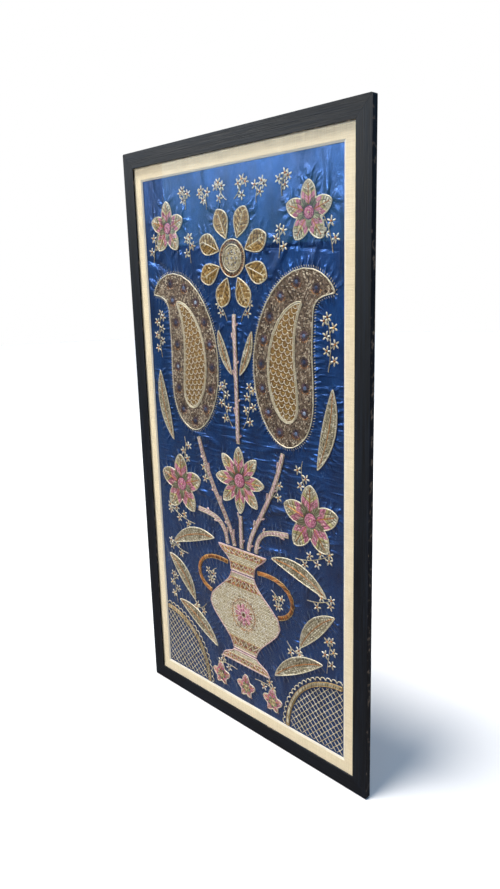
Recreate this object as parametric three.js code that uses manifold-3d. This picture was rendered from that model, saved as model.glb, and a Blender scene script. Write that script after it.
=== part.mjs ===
// A tall framed zardozi panel. Blue satin is worked with padded metal-thread motifs, laid on a backing board
// and shut behind a linen-covered mat and a pane of glass in a mitred, black-stained wooden frame.
// The design is a traditional one: a vase of flowering stems with a rosette and a pair of paisleys, over a row of
// lotus flowers and a fan in each lower corner.
//
// Millimetres, +Z up. The panel faces -Y and its back lies on the wall at y = 0. The origin is at the middle of
// the top rail's back face, where the panel hangs.
import * as THREE from "three";
import { mergeVertices } from "three/addons/utils/BufferGeometryUtils.js";
import Module from "manifold-3d";

// Frame
const OUTER_WIDTH = 800;
const OUTER_HEIGHT = 1510;
const RAIL_FACE = 40;
const RAIL_DEPTH = 16;
const REBATE_WIDTH = 7;
const LIP = 3;
const CORNER_RADIUS = 5;
const FRONT_EASE = 0.8;
const BACK_EASE = 2.5;

// Layers behind the lip, each GAP from the next
const GAP = 0.3;
const GLASS_THICKNESS = 2;
const MAT_THICKNESS = 3;
const CLOTH_THICKNESS = 1;
const CREASE_DEPTH = 0.9;
const BOARD_THICKNESS = 3;
const SIDE_CLEARANCE = 0.5;

// Mat: the width of linen that shows on each side, and the sloped edge round its window
const MAT_SIDE = 31;
const MAT_TOP = 35;
const MAT_BOTTOM = 31;
const MAT_BEVEL = 5;
const CLOTH_MARGIN = 4;

const GLASS_FRONT = LIP + GAP;
const MAT_FRONT = GLASS_FRONT + GLASS_THICKNESS + GAP;
const CLOTH_FRONT = MAT_FRONT + MAT_THICKNESS + GAP;
const BOARD_FRONT = CLOTH_FRONT + CLOTH_THICKNESS + CREASE_DEPTH + GAP;

const REBATE_INSET = RAIL_FACE - REBATE_WIDTH + SIDE_CLEARANCE;
const INNER_WIDTH = OUTER_WIDTH - 2 * REBATE_INSET;
const INNER_HEIGHT = OUTER_HEIGHT - 2 * REBATE_INSET;
const WINDOW_WIDTH = OUTER_WIDTH - 2 * (RAIL_FACE + MAT_SIDE);
const WINDOW_HEIGHT = OUTER_HEIGHT - 2 * RAIL_FACE - MAT_TOP - MAT_BOTTOM;
const WINDOW_CENTRE_Z = (MAT_BOTTOM - MAT_TOP) / 2;

const paint = (color, roughness, metalness = 0) => new THREE.MeshStandardMaterial({ color, roughness, metalness });
const BLACK_WOOD = paint(0x23252a, 0.55);
const CLEAR_GLASS = paint(0xe8f0f0, 0.05);
const LINEN = paint(0xf0dfc0, 0.9);
const SATIN = paint(0x123f86, 0.35);
const HARDBOARD = paint(0x8a6a48, 0.85);
const GOLD_WIRE = paint(0xa98f4f, 0.4, 0.8);
const BRONZE_WIRE = paint(0x8c7460, 0.5, 0.6);
const SILVER_WIRE = paint(0xb0a684, 0.45, 0.7);
const CREAM_WIRE = paint(0xd6cba6, 0.5, 0.4);
const COPPER_WIRE = paint(0xb06a2c, 0.45, 0.7);
const PINK_CORD = paint(0xcbaaa4, 0.7);
const ROSE_SILK = paint(0xd98a9a, 0.5);

const wasm = await Module();
wasm.setup();

function solidOf(geometry) {
  const bare = geometry.clone();
  for (const name of ["normal", "uv"]) bare.deleteAttribute(name);
  const merged = mergeVertices(bare, 1e-4);
  return new wasm.Manifold(
    new wasm.Mesh({
      numProp: 3,
      vertProperties: new Float32Array(merged.attributes.position.array),
      triVerts: new Uint32Array(merged.index.array),
    }),
  );
}

function geometryOf(solid) {
  const mesh = solid.getMesh();
  const geometry = new THREE.BufferGeometry();
  geometry.setAttribute("position", new THREE.BufferAttribute(mesh.vertProperties, 3));
  geometry.setIndex(new THREE.BufferAttribute(mesh.triVerts, 1));
  return geometry;
}

const root = new THREE.Group();
const panel = new THREE.Group();
panel.position.z = -(OUTER_HEIGHT - RAIL_FACE) / 2;
root.add(panel);

// Everything sewn on the cloth is placed from the middle of the mat's window.
const work = new THREE.Group();
work.position.z = WINDOW_CENTRE_Z;
panel.add(work);

function add(parent, name, geometry, material) {
  const mesh = new THREE.Mesh(geometry, material);
  mesh.name = name;
  parent.add(mesh);
}

// The y of a plane at a depth behind the frame's front face.
const planeAt = (depth) => depth - RAIL_DEPTH;

// Frame rails: one moulding section, run along each side and mitred at the ends

function mouldingSection() {
  const inner = RAIL_FACE - REBATE_WIDTH;
  const section = new THREE.Shape();
  section.moveTo(FRONT_EASE, 0);
  section.lineTo(RAIL_FACE - FRONT_EASE, 0);
  section.absarc(RAIL_FACE - FRONT_EASE, FRONT_EASE, FRONT_EASE, -Math.PI / 2, 0, false);
  section.lineTo(RAIL_FACE, LIP);
  section.lineTo(inner, LIP);
  section.lineTo(inner, RAIL_DEPTH);
  section.lineTo(BACK_EASE, RAIL_DEPTH);
  section.absarc(BACK_EASE, RAIL_DEPTH - BACK_EASE, BACK_EASE, Math.PI / 2, Math.PI, false);
  section.lineTo(0, FRONT_EASE);
  section.absarc(FRONT_EASE, FRONT_EASE, FRONT_EASE, Math.PI, 1.5 * Math.PI, false);
  return section;
}

// A rail lies along X with its outer edge at z = reach. Each end is drawn in by the distance from the outer edge.
function mitredRail(length, reach) {
  const rail = new THREE.ExtrudeGeometry(mouldingSection(), { depth: 1, bevelEnabled: false, curveSegments: 2 });
  const at = rail.attributes.position;
  for (let i = 0; i < at.count; i++) {
    const inward = at.getX(i);
    const end = length / 2 - inward - GAP / Math.SQRT2;
    at.setXYZ(i, at.getZ(i) > 0.5 ? end : -end, planeAt(at.getY(i)), reach - inward);
  }
  return rail;
}

// A block with the frame's rounded outline, deep enough to trim the rails' outer corners.
function roundedOutline() {
  const [w, h, r] = [OUTER_WIDTH / 2, OUTER_HEIGHT / 2, CORNER_RADIUS];
  const outline = new THREE.Shape();
  outline.moveTo(-w + r, -h);
  outline.absarc(w - r, -h + r, r, -Math.PI / 2, 0, false);
  outline.absarc(w - r, h - r, r, 0, Math.PI / 2, false);
  outline.absarc(-w + r, h - r, r, Math.PI / 2, Math.PI, false);
  outline.absarc(-w + r, -h + r, r, Math.PI, 1.5 * Math.PI, false);
  const block = new THREE.ExtrudeGeometry(outline, { depth: 4 * RAIL_DEPTH, bevelEnabled: false, curveSegments: 3 });
  return solidOf(block.rotateX(Math.PI / 2).translate(0, 2 * RAIL_DEPTH, 0));
}

const outerBlock = roundedOutline();
for (const { name, turn, length, reach } of [
  { name: "rail_top", turn: 0, length: OUTER_WIDTH, reach: OUTER_HEIGHT / 2 },
  { name: "rail_right", turn: Math.PI / 2, length: OUTER_HEIGHT, reach: OUTER_WIDTH / 2 },
  { name: "rail_bottom", turn: Math.PI, length: OUTER_WIDTH, reach: OUTER_HEIGHT / 2 },
  { name: "rail_left", turn: -Math.PI / 2, length: OUTER_HEIGHT, reach: OUTER_WIDTH / 2 },
]) {
  const rail = solidOf(mitredRail(length, reach).rotateY(turn));
  add(panel, name, geometryOf(rail.intersect(outerBlock)), BLACK_WOOD);
}

// Flat layers: pane, backing board, and the mat with its sloped window edge

function slab(thickness, front) {
  return new THREE.BoxGeometry(INNER_WIDTH, thickness, INNER_HEIGHT).translate(0, planeAt(front + thickness / 2), 0);
}

add(panel, "glass", slab(GLASS_THICKNESS, GLASS_FRONT), CLEAR_GLASS);
add(panel, "backing_board", slab(BOARD_THICKNESS, BOARD_FRONT), HARDBOARD);

// A rectangular ring through a closed run of sections, each { width, height, z, front }.
function rectangularRing(sections) {
  const corners = [[-1, -1], [1, -1], [1, 1], [-1, 1]];
  const position = [];
  for (const { width, height, z, front } of sections)
    for (const [sx, sz] of corners) position.push((sx * width) / 2, planeAt(front), z + (sz * height) / 2);
  const index = [];
  sections.forEach((_, i) => {
    const here = 4 * i;
    const next = 4 * ((i + 1) % sections.length);
    corners.forEach((_, c) => {
      const d = (c + 1) % 4;
      index.push(here + c, here + d, next + d, here + c, next + d, next + c);
    });
  });
  const ring = new THREE.BufferGeometry();
  ring.setAttribute("position", new THREE.Float32BufferAttribute(position, 3));
  ring.setIndex(index);
  return ring;
}

const matOuter = { width: INNER_WIDTH, height: INNER_HEIGHT, z: 0 };
const matWindow = (slope) => ({
  width: WINDOW_WIDTH + 2 * slope,
  height: WINDOW_HEIGHT + 2 * slope,
  z: WINDOW_CENTRE_Z,
});
const mat = rectangularRing([
  { ...matOuter, front: MAT_FRONT },
  { ...matWindow(MAT_BEVEL), front: MAT_FRONT },
  { ...matWindow(0), front: MAT_FRONT + MAT_THICKNESS - CLOTH_THICKNESS },
  { ...matWindow(0), front: MAT_FRONT + MAT_THICKNESS },
  { ...matOuter, front: MAT_FRONT + MAT_THICKNESS },
]);
add(panel, "linen_mat", mat, LINEN);

// Satin: one sheet, drawn flat under the work and slack between, where it lies in soft creases

// Each crease: its middle, its length and width, its turn from level in degrees, and its share of CREASE_DEPTH.
const CREASES = [
  { x: 150, z: 600, length: 190, width: 32, turn: 62, share: 1.0 },
  { x: 302, z: 470, length: 130, width: 28, turn: 84, share: 0.8 },
  { x: 150, z: 560, length: 120, width: 28, turn: 78, share: 0.6 },
  { x: -306, z: 470, length: 170, width: 32, turn: 96, share: 0.9 },
  { x: -148, z: 612, length: 150, width: 30, turn: 112, share: 0.8 },
  { x: -290, z: 255, length: 110, width: 30, turn: 128, share: 1.0 },
  { x: -296, z: -10, length: 110, width: 28, turn: 150, share: 0.8 },
  { x: 296, z: 262, length: 120, width: 28, turn: 20, share: 0.8 },
  { x: 190, z: 10, length: 100, width: 28, turn: 8, share: 0.9 },
  { x: 30, z: 100, length: 110, width: 28, turn: 4, share: 0.9 },
  { x: -190, z: -4, length: 100, width: 26, turn: 170, share: 0.7 },
  { x: 34, z: 330, length: 80, width: 24, turn: 12, share: 0.8 },
  { x: -270, z: -238, length: 110, width: 28, turn: 12, share: 0.7 },
  { x: 296, z: -250, length: 90, width: 26, turn: 176, share: 0.8 },
  { x: -170, z: -420, length: 110, width: 30, turn: 76, share: 0.6 },
  { x: 178, z: -430, length: 120, width: 30, turn: 104, share: 0.7 },
];
const CLOTH_COLUMNS = 22;
const CLOTH_ROWS = 42;

function creaseDepth(x, z) {
  let slack = 0;
  for (const crease of CREASES) {
    const turn = THREE.MathUtils.degToRad(crease.turn);
    const along = (x - crease.x) * Math.cos(turn) + (z - crease.z) * Math.sin(turn);
    const across = -(x - crease.x) * Math.sin(turn) + (z - crease.z) * Math.cos(turn);
    const fall = ((2 * along) / crease.length) ** 2 + ((2 * across) / crease.width) ** 2;
    slack += crease.share * Math.exp(-fall);
  }
  return CREASE_DEPTH * Math.min(slack, 1);
}

function creasedSheet() {
  const width = INNER_WIDTH - 2 * CLOTH_MARGIN;
  const height = INNER_HEIGHT - 2 * CLOTH_MARGIN;
  const sheet = new THREE.BoxGeometry(width, CLOTH_THICKNESS, height, CLOTH_COLUMNS, 1, CLOTH_ROWS);
  sheet.translate(0, planeAt(CLOTH_FRONT + CLOTH_THICKNESS / 2), 0);
  const at = sheet.attributes.position;
  for (let i = 0; i < at.count; i++) at.setY(i, at.getY(i) + creaseDepth(at.getX(i), at.getZ(i) - WINDOW_CENTRE_Z));
  return sheet;
}

add(panel, "satin_ground", creasedSheet(), SATIN);

// Padded pieces: each motif is a pad of felt covered with metal thread, sewn down on the satin

// The edge of a pad stands upright to half its height, then slopes in by `slope` to a level crown.
const FLAT_PAD = { height: 1.2, slope: 3 };
const SOFT_PAD = { height: 1.7, slope: 4 };
const FULL_PAD = { height: 2.3, slope: 7 };
const BUTTON_PAD = { height: 2.3, slope: 5 };
const SET_IN_GAP = 1.2;

const CURVE_STEPS = 14;
const LONG_CURVE_STEPS = 24;
const STRAIGHT_STEPS = 6;
const ROUND_STEPS = 24;
const POINTED_UNDER = 0.2;
const MOST_TRIM = 0.2;
const MOST_NARROWING = 0.6;

// The outline of a shape that follows a centre line. `half(s)` is its half width, s runs from 0 to 1, and `inset`
// draws the edge in by a length. It runs anticlockwise as seen from the front, and a pointed end is one point.
function ribbon(line, half, steps, inset = 0) {
  const trim = Math.min(inset / line.getLength(), MOST_TRIM);
  const [right, left] = [[], []];
  for (let i = 0; i <= steps; i++) {
    const share = (1 - Math.cos((Math.PI * i) / steps)) / 2;
    const s = trim + (1 - 2 * trim) * share;
    const centre = line.getPoint(s);
    const atEnd = i === 0 || i === steps;
    if (atEnd && half(share) < POINTED_UNDER) {
      right.push(centre);
      continue;
    }
    const ahead = line.getTangent(s);
    const reach = half(s) - Math.min(inset, half(s) * MOST_NARROWING);
    const side = new THREE.Vector2(ahead.y, -ahead.x).multiplyScalar(reach);
    right.push(centre.clone().add(side));
    left.push(centre.clone().sub(side));
  }
  return [...right, ...left.reverse()];
}

// The outline of a shape round a centre, from its top: `radius(turn)` is its reach at each turn from the level.
function roundOutline(centre, radius, steps, inset = 0) {
  return Array.from({ length: steps }, (_, i) => {
    const turn = Math.PI / 2 + (2 * Math.PI * i) / steps;
    const reach = radius(turn) - inset;
    return new THREE.Vector2(centre.x + reach * Math.cos(turn), centre.y + reach * Math.sin(turn));
  });
}

// A pad lying on the satin. `outlineAt(inset)` gives its edge, and `hole` a straight-sided gap through it.
function pad(outlineAt, { height, slope }, hole = []) {
  const base = planeAt(CLOTH_FRONT - GAP);
  const crown = base - height;
  const foot = outlineAt(0);
  const rims = [
    { points: foot, y: base },
    { points: foot, y: base - height / 2 },
    { points: outlineAt(slope), y: crown },
    { points: hole, y: base },
    { points: hole, y: crown },
  ];
  const position = [];
  for (const { points, y } of rims) for (const p of points) position.push(p.x, y, p.y);

  const edge = foot.length;
  const holeStart = 3 * edge;
  const index = [];
  const wall = (start, next, count, outward) => {
    for (let i = 0; i < count; i++) {
      const j = (i + 1) % count;
      const quad = [start + i, start + j, next + j, start + i, next + j, next + i];
      index.push(...(outward ? quad : quad.reverse()));
    }
  };
  wall(0, edge, edge, true);
  wall(edge, 2 * edge, edge, true);
  wall(holeStart, holeStart + hole.length, hole.length, false);

  const cap = (points, start, holeAt, forward) => {
    const place = (i) => (i < edge ? start + i : holeAt + i - edge);
    for (const face of THREE.ShapeUtils.triangulateShape(points, hole.length ? [hole] : [])) {
      const [a, b, c] = face.map(place);
      index.push(...(forward ? [a, b, c] : [c, b, a]));
    }
  };
  cap(foot, 0, holeStart, false);
  cap(rims[2].points, 2 * edge, holeStart + hole.length, true);

  const geometry = new THREE.BufferGeometry();
  geometry.setAttribute("position", new THREE.Float32BufferAttribute(position, 3));
  geometry.setIndex(index);
  return geometry;
}

function addRibbon(name, line, half, steps, padding, material, hole) {
  add(work, name, pad((inset) => ribbon(line, half, steps, inset), padding, hole), material);
}

const circle = (centre, radius) => (inset) => roundOutline(centre, () => radius, ROUND_STEPS, inset);
const point = (x, z) => new THREE.Vector2(x, z);
const SIDES = [["left", -1], ["right", 1]];

// A centre line that swings to one side between two points, by `bow` of its length.
function bowedLine(from, to, bow) {
  const across = point(from.y - to.y, to.x - from.x);
  const middle = from.clone().add(to).multiplyScalar(0.5);
  return new THREE.QuadraticBezierCurve(from, middle.addScaledVector(across, 2 * bow), to);
}

// Half widths along a line. A swelling comes to a point at both ends: `lean` moves its widest place, under 1
// towards the start and over 1 towards the end, and a smaller `blunt` makes the ends rounder.
const LEAF = { lean: 1, blunt: 0.75 };
const PETAL = { lean: 1.35, blunt: 0.7 };
const DROP = { lean: 0.58, blunt: 0.72 };
const evenHalf = (width) => () => width / 2;
function swelling(width, { lean, blunt }) {
  return (s) => (width / 2) * Math.max(Math.sin(Math.PI * Math.min(Math.max(s, 0), 1) ** lean), 0) ** blunt;
}

// Half widths read from a table of { at, half } rows, eased from each row to the next.
function turnedHalf(rows) {
  return (s) => {
    const next = Math.max(rows.findIndex((row) => row.at >= s), 1);
    const [low, high] = [rows[next - 1], rows[next]];
    return THREE.MathUtils.lerp(low.half, high.half, THREE.MathUtils.smoothstep(s, low.at, high.at));
  };
}

// Paisleys: a bronze field with its gold drop set into it

const PAISLEY_WIDTH = 184;
const PAISLEY_DROP_WIDTH = 82;
for (const [side, sign] of SIDES) {
  const field = new THREE.CubicBezierCurve(
    point(sign * 200, 60),
    point(sign * 100, 210),
    point(sign * 170, 480),
    point(sign * 306, 396),
  );
  const drop = new THREE.CubicBezierCurve(
    point(sign * 180, 112),
    point(sign * 128, 210),
    point(sign * 146, 340),
    point(sign * 212, 376),
  );
  const dropHalf = swelling(PAISLEY_DROP_WIDTH, DROP);
  const hole = ribbon(drop, (s) => dropHalf(s) + SET_IN_GAP, CURVE_STEPS);
  addRibbon(`paisley_${side}`, field, swelling(PAISLEY_WIDTH, DROP), LONG_CURVE_STEPS, FLAT_PAD, BRONZE_WIRE, hole);
  addRibbon(`paisley_drop_${side}`, drop, dropHalf, CURVE_STEPS, FULL_PAD, GOLD_WIRE);
}

// Rosette: petals round a ringed button

const ROSETTE = point(0, 478);
const ROSETTE_PETALS = 8;
const PETAL_START = 46;
const PETAL_END = 122;
const PETAL_WIDTH = 52;
const RING_OUTER = 44;
const RING_INNER = 30;
const ROSETTE_BUTTON = 28.5;
for (let i = 0; i < ROSETTE_PETALS; i++) {
  const turn = (2 * Math.PI * (i + 0.5)) / ROSETTE_PETALS;
  const outward = point(Math.cos(turn), Math.sin(turn));
  const axis = new THREE.LineCurve(
    ROSETTE.clone().addScaledVector(outward, PETAL_START),
    ROSETTE.clone().addScaledVector(outward, PETAL_END),
  );
  addRibbon(`rosette_petal_${i + 1}`, axis, swelling(PETAL_WIDTH, PETAL), CURVE_STEPS, FULL_PAD, GOLD_WIRE);
}
const ringHole = circle(ROSETTE, RING_INNER)(0);
add(work, "rosette_ring", pad(circle(ROSETTE, RING_OUTER), SOFT_PAD, ringHole), BRONZE_WIRE);
add(work, "rosette_button", pad(circle(ROSETTE, ROSETTE_BUTTON), FULL_PAD), CREAM_WIRE);

// Open flowers: pointed petals in one pad round a small button

const FLOWERS = [
  { name: "flower_centre", x: 0, z: -60, reach: 88, petals: 8 },
  { name: "flower_low_left", x: -232, z: -112, reach: 86, petals: 5 },
  { name: "flower_low_right", x: 232, z: -112, reach: 86, petals: 5 },
  { name: "flower_high_left", x: -236, z: 560, reach: 66, petals: 5 },
  { name: "flower_high_right", x: 236, z: 560, reach: 66, petals: 5 },
];
const NOTCH_SHARE = 0.5;
const FULLNESS = 1.3;
const STEPS_A_PETAL = 10;
const FLOWER_BUTTON_SHARE = 0.2;
for (const { name, x, z, reach, petals } of FLOWERS) {
  const centre = point(x, z);
  const petalled = (turn) => {
    const fromAxis = Math.acos(Math.cos(petals * (turn - Math.PI / 2))) / Math.PI;
    return reach * (1 - NOTCH_SHARE * fromAxis ** FULLNESS);
  };
  const outline = (inset) => roundOutline(centre, petalled, STEPS_A_PETAL * petals, inset);
  const button = reach * FLOWER_BUTTON_SHARE;
  add(work, name, pad(outline, SOFT_PAD, circle(centre, button + SET_IN_GAP)(0)), SILVER_WIRE);
  add(work, `${name}_button`, pad(circle(centre, button), BUTTON_PAD), ROSE_SILK);
}

// Stems: a couched cord, the same width all along, from the vase's mouth

const STEM_WIDTH = 13;
const MOUTH_Z = -240;
const addStem = (name, line, steps) => addRibbon(name, line, evenHalf(STEM_WIDTH), steps, SOFT_PAD, PINK_CORD);
addStem("stem_low", new THREE.LineCurve(point(0, MOUTH_Z), point(0, -152)), STRAIGHT_STEPS);
addStem("stem_high", new THREE.LineCurve(point(0, 34), point(0, 350)), STRAIGHT_STEPS);
for (const [side, sign] of SIDES) {
  const toPaisley = new THREE.CubicBezierCurve(
    point(sign * 26, MOUTH_Z),
    point(sign * 34, -170),
    point(sign * 112, -110),
    point(sign * 150, 33),
  );
  const toFlower = new THREE.CubicBezierCurve(
    point(sign * 52, MOUTH_Z),
    point(sign * 60, -170),
    point(sign * 100, -172),
    point(sign * 164, -166),
  );
  addStem(`stem_inner_${side}`, toPaisley, CURVE_STEPS);
  addStem(`stem_outer_${side}`, toFlower, CURVE_STEPS);
}

// Leaves, each row sewn once on either side of the middle

const LEAVES = [
  { name: "leaf_base", fromX: 108, fromZ: -556, toX: 268, toZ: -464, bow: 0.07, width: 44 },
  { name: "leaf_outer", fromX: 196, fromZ: -446, toX: 304, toZ: -330, bow: 0.08, width: 46 },
  { name: "leaf_mouth", fromX: 104, fromZ: -238, toX: 280, toZ: -292, bow: 0.09, width: 42 },
  { name: "leaf_side", fromX: 254, fromZ: 10, toX: 298, toZ: 198, bow: -0.06, width: 40 },
  { name: "leaf_upper", fromX: 13, fromZ: 204, toX: 58, toZ: 312, bow: -0.05, width: 27 },
];
for (const leaf of LEAVES)
  for (const [side, sign] of SIDES) {
    const from = point(sign * leaf.fromX, leaf.fromZ);
    const line = bowedLine(from, point(sign * leaf.toX, leaf.toZ), sign * leaf.bow);
    addRibbon(`${leaf.name}_${side}`, line, swelling(leaf.width, LEAF), CURVE_STEPS, SOFT_PAD, SILVER_WIRE);
  }

// Vase: foot, body and flared neck on one upright line, with a handle on each side

const VASE_WAIST = 44;
const VASE = [
  {
    name: "vase_foot",
    bottom: -574,
    top: -536,
    profile: [{ at: 0, half: 92 }, { at: 0.3, half: 85 }, { at: 1, half: VASE_WAIST }],
  },
  {
    name: "vase_body",
    bottom: -533,
    top: -312,
    profile: [{ at: 0, half: VASE_WAIST }, { at: 0.52, half: 132 }, { at: 1, half: VASE_WAIST }],
  },
  {
    name: "vase_neck",
    bottom: -309,
    top: -244,
    profile: [{ at: 0, half: VASE_WAIST }, { at: 0.3, half: 46 }, { at: 1, half: 88 }],
  },
];
for (const { name, bottom, top, profile } of VASE) {
  const upright = new THREE.LineCurve(point(0, bottom), point(0, top));
  addRibbon(name, upright, turnedHalf(profile), CURVE_STEPS, FULL_PAD, CREAM_WIRE);
}

const HANDLE_WIDTH = 12;
for (const [side, sign] of SIDES) {
  const line = new THREE.CubicBezierCurve(
    point(sign * 54, -292),
    point(sign * 190, -270),
    point(sign * 204, -376),
    point(sign * 123, -392),
  );
  addRibbon(`vase_handle_${side}`, line, evenHalf(HANDLE_WIDTH), CURVE_STEPS, SOFT_PAD, COPPER_WIRE);
}

// Foot of the panel: a short row of lotus flowers between two corner fans, each fan with a padded rim

const LOTUS_COUNT = 3;
const LOTUS_SPACING = 98;
const LOTUS_REACH = 42;
const LOTUS_Z = -640;
const LOTUS_LOBES = 5;
const LOBE_DEPTH = 0.18;
const TALLER_ABOVE = 0.2;
for (let i = 0; i < LOTUS_COUNT; i++) {
  const centre = point((i - (LOTUS_COUNT - 1) / 2) * LOTUS_SPACING, LOTUS_Z);
  const lobed = (turn) => {
    const lobe = 1 - LOBE_DEPTH + LOBE_DEPTH * Math.cos(LOTUS_LOBES * (turn - Math.PI / 2));
    return LOTUS_REACH * lobe * (1 - TALLER_ABOVE + TALLER_ABOVE * Math.sin(turn));
  };
  const outline = (inset) => roundOutline(centre, lobed, STEPS_A_PETAL * LOTUS_LOBES, inset);
  add(work, `lotus_${i + 1}`, pad(outline, SOFT_PAD), ROSE_SILK);
}

const FAN_RADIUS = 176;
const FAN_RIM_WIDTH = 12;
const WORK_MARGIN = 3;
for (const [side, sign] of SIDES) {
  const corner = point(sign * (WINDOW_WIDTH / 2 - WORK_MARGIN), WORK_MARGIN - WINDOW_HEIGHT / 2);
  const level = sign > 0 ? Math.PI : 0;
  const arc = new THREE.EllipseCurve(corner.x, corner.y, FAN_RADIUS, FAN_RADIUS, Math.PI / 2, level, sign < 0);
  addRibbon(`fan_rim_${side}`, arc, evenHalf(FAN_RIM_WIDTH), CURVE_STEPS, SOFT_PAD, CREAM_WIRE);
}

export default root;
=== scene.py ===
import math

import bmesh
import bpy
import numpy as np
from mathutils import Matrix, Vector
from mathutils.bvhtree import BVHTree
from mathutils.kdtree import KDTree


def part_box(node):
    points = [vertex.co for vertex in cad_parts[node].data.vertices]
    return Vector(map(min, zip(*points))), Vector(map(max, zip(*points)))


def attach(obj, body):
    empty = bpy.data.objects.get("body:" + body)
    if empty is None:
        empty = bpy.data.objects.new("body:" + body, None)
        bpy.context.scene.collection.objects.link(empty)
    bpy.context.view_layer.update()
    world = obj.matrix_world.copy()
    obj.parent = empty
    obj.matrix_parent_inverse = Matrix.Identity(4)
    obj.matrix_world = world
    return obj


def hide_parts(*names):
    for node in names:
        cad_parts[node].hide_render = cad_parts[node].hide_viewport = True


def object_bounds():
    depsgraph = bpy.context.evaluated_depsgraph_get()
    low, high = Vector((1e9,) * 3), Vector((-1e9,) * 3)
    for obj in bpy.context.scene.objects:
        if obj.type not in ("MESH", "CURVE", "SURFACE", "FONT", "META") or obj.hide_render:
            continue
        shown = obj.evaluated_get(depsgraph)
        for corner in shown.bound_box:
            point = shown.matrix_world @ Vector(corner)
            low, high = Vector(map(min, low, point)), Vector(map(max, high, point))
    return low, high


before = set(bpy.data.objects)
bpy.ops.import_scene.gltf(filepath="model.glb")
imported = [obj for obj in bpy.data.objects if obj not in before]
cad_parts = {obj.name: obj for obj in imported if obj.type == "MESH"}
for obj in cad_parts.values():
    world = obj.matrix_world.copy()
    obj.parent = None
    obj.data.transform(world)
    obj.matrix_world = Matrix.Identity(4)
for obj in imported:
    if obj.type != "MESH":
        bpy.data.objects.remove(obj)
cad_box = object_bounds()

# The viewpoint of the photograph: from the right of the panel, 1.7 m from its middle and about three
# quarters of its height up, looking across it and slightly down.
MM = 0.001
CAMERA_PLACE = Vector((1.2321, -1.1609, -0.3097))
CAMERA_FORWARD = Vector((-0.69975, 0.67702, -0.22803)).normalized()
CAMERA_UP = Vector((-0.14320, 0.17980, 0.97323)).normalized()
CAMERA_LENS = 28.42


def new_object(name, data):
    """An object at the origin, in the scene."""
    made = bpy.data.objects.new(name, data)
    bpy.context.collection.objects.link(made)
    return made


camera_data = bpy.data.cameras.new("camera")
camera_data.lens = CAMERA_LENS
camera_data.sensor_width = 36.0
camera_data.sensor_fit = "AUTO"
camera = new_object("camera", camera_data)
camera_right = CAMERA_FORWARD.cross(CAMERA_UP).normalized()
camera_up = camera_right.cross(CAMERA_FORWARD)
turn = Matrix((camera_right, camera_up, -CAMERA_FORWARD)).transposed()
camera.matrix_world = Matrix.Translation(CAMERA_PLACE) @ turn.to_4x4()
bpy.context.scene.camera = camera
bpy.context.scene.view_settings.view_transform = "Standard"

# The floor: a pale, faintly clouded studio floor just under the panel. Mirrored and refracted rays
# don't meet it, so it doesn't show in the pane.
FLOOR_GAP = 1 * MM
FLOOR_REACH = 14.0
FLOOR_FORWARD = 0.1


def rgb(red, green, blue):
    """A colour given as the eye reads it, 0 to 255, as the shader wants it."""
    linear = [c / 255 / 12.92 if c < 11 else ((c / 255 + 0.055) / 1.055) ** 2.4 for c in (red, green, blue)]
    return (*linear, 1.0)


def new_material(name):
    """A node material, its tree and its Principled shader."""
    made = bpy.data.materials.new(name)
    made.use_nodes = True
    return made, made.node_tree, made.node_tree.nodes["Principled BSDF"]


def wire(node, inputs):
    """Sets or links a node's inputs, by name or number."""
    for key, value in dict(inputs).items():
        if isinstance(value, bpy.types.NodeSocket):
            node.id_data.links.new(value, node.inputs[key])
        else:
            node.inputs[key].default_value = value


def add(tree, kind, inputs=(), **settings):
    """A new node with its settings and inputs."""
    made = tree.nodes.new("ShaderNode" + kind)
    for key, value in settings.items():
        setattr(made, key, value)
    wire(made, inputs)
    return made


def tree_of(values):
    """The node tree of the first socket among the values."""
    return next(value.id_data for value in values if isinstance(value, bpy.types.NodeSocket))


def mixed(share, first, second, blend="MIX"):
    """The colour that a Mix node makes of two colours."""
    inputs = {0: share, 6: first, 7: second}
    return add(tree_of(inputs.values()), "Mix", inputs, data_type="RGBA", blend_type=blend).outputs[2]


def object_from(name, bm, material):
    """An object of a bmesh, which is freed, in one material."""
    mesh = bpy.data.meshes.new(name)
    bm.to_mesh(mesh)
    bm.free()
    mesh.materials.append(material)
    return new_object(name, mesh)


floor_material, tree, shader = new_material("pale_floor")
cloudy = add(tree, "TexNoise", {"Scale": 6.0, "Detail": 3.0}).outputs["Fac"]
shade = mixed(cloudy, rgb(245, 239, 233), rgb(250, 245, 239))
wire(shader, {"Base Color": shade, "Roughness": 0.9, "Specular IOR Level": 0.1})
bm = bmesh.new()
bmesh.ops.create_circle(bm, cap_ends=True, segments=64, radius=FLOOR_REACH)
bmesh.ops.translate(bm, verts=bm.verts, vec=(0, -FLOOR_FORWARD, cad_box[0].z - FLOOR_GAP))
floor = object_from("floor", bm, floor_material)
floor.visible_glossy = False
floor.visible_transmission = False

# The lights: a sun overhead, a warm key high on the left, a dim strip in front that glints on the
# puckers, a fill behind, and a blue card whose mirror image is the light patch in the pane.
MIDDLE = Vector((0.0, 0.0, -0.75))
SUN_TILT = Vector((-0.10, -0.24, 1.0))
SUN_POWER = 3.1
SUN_ANGLE = math.radians(14)
KEY_PLACE = Vector((-4.5, -4.35, 1.95))
KEY_SIZE = 1.4
KEY_POWER = 158.0
KEY_COLOUR = (1.0, 0.965, 0.91)
STRIP_PLACE = Vector((-0.86, -2.45, -0.55))
STRIP_SIZE = (0.34, 1.5)
STRIP_POWER = 4.5
BACK_PLACE = Vector((-2.6, 3.4, 0.9))
BACK_SIZE = 1.6
BACK_POWER = 60.0
CARD_DISTANCE = 3.0
CARD_POWER = 3.0
CARD_COLOUR = (0.24, 0.68, 1.0)
PATCH_LEFT = -0.203
PATCH_RIGHT = 0.40
PATCH_LOW = -0.232
PATCH_HIGH = 0.30


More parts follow.
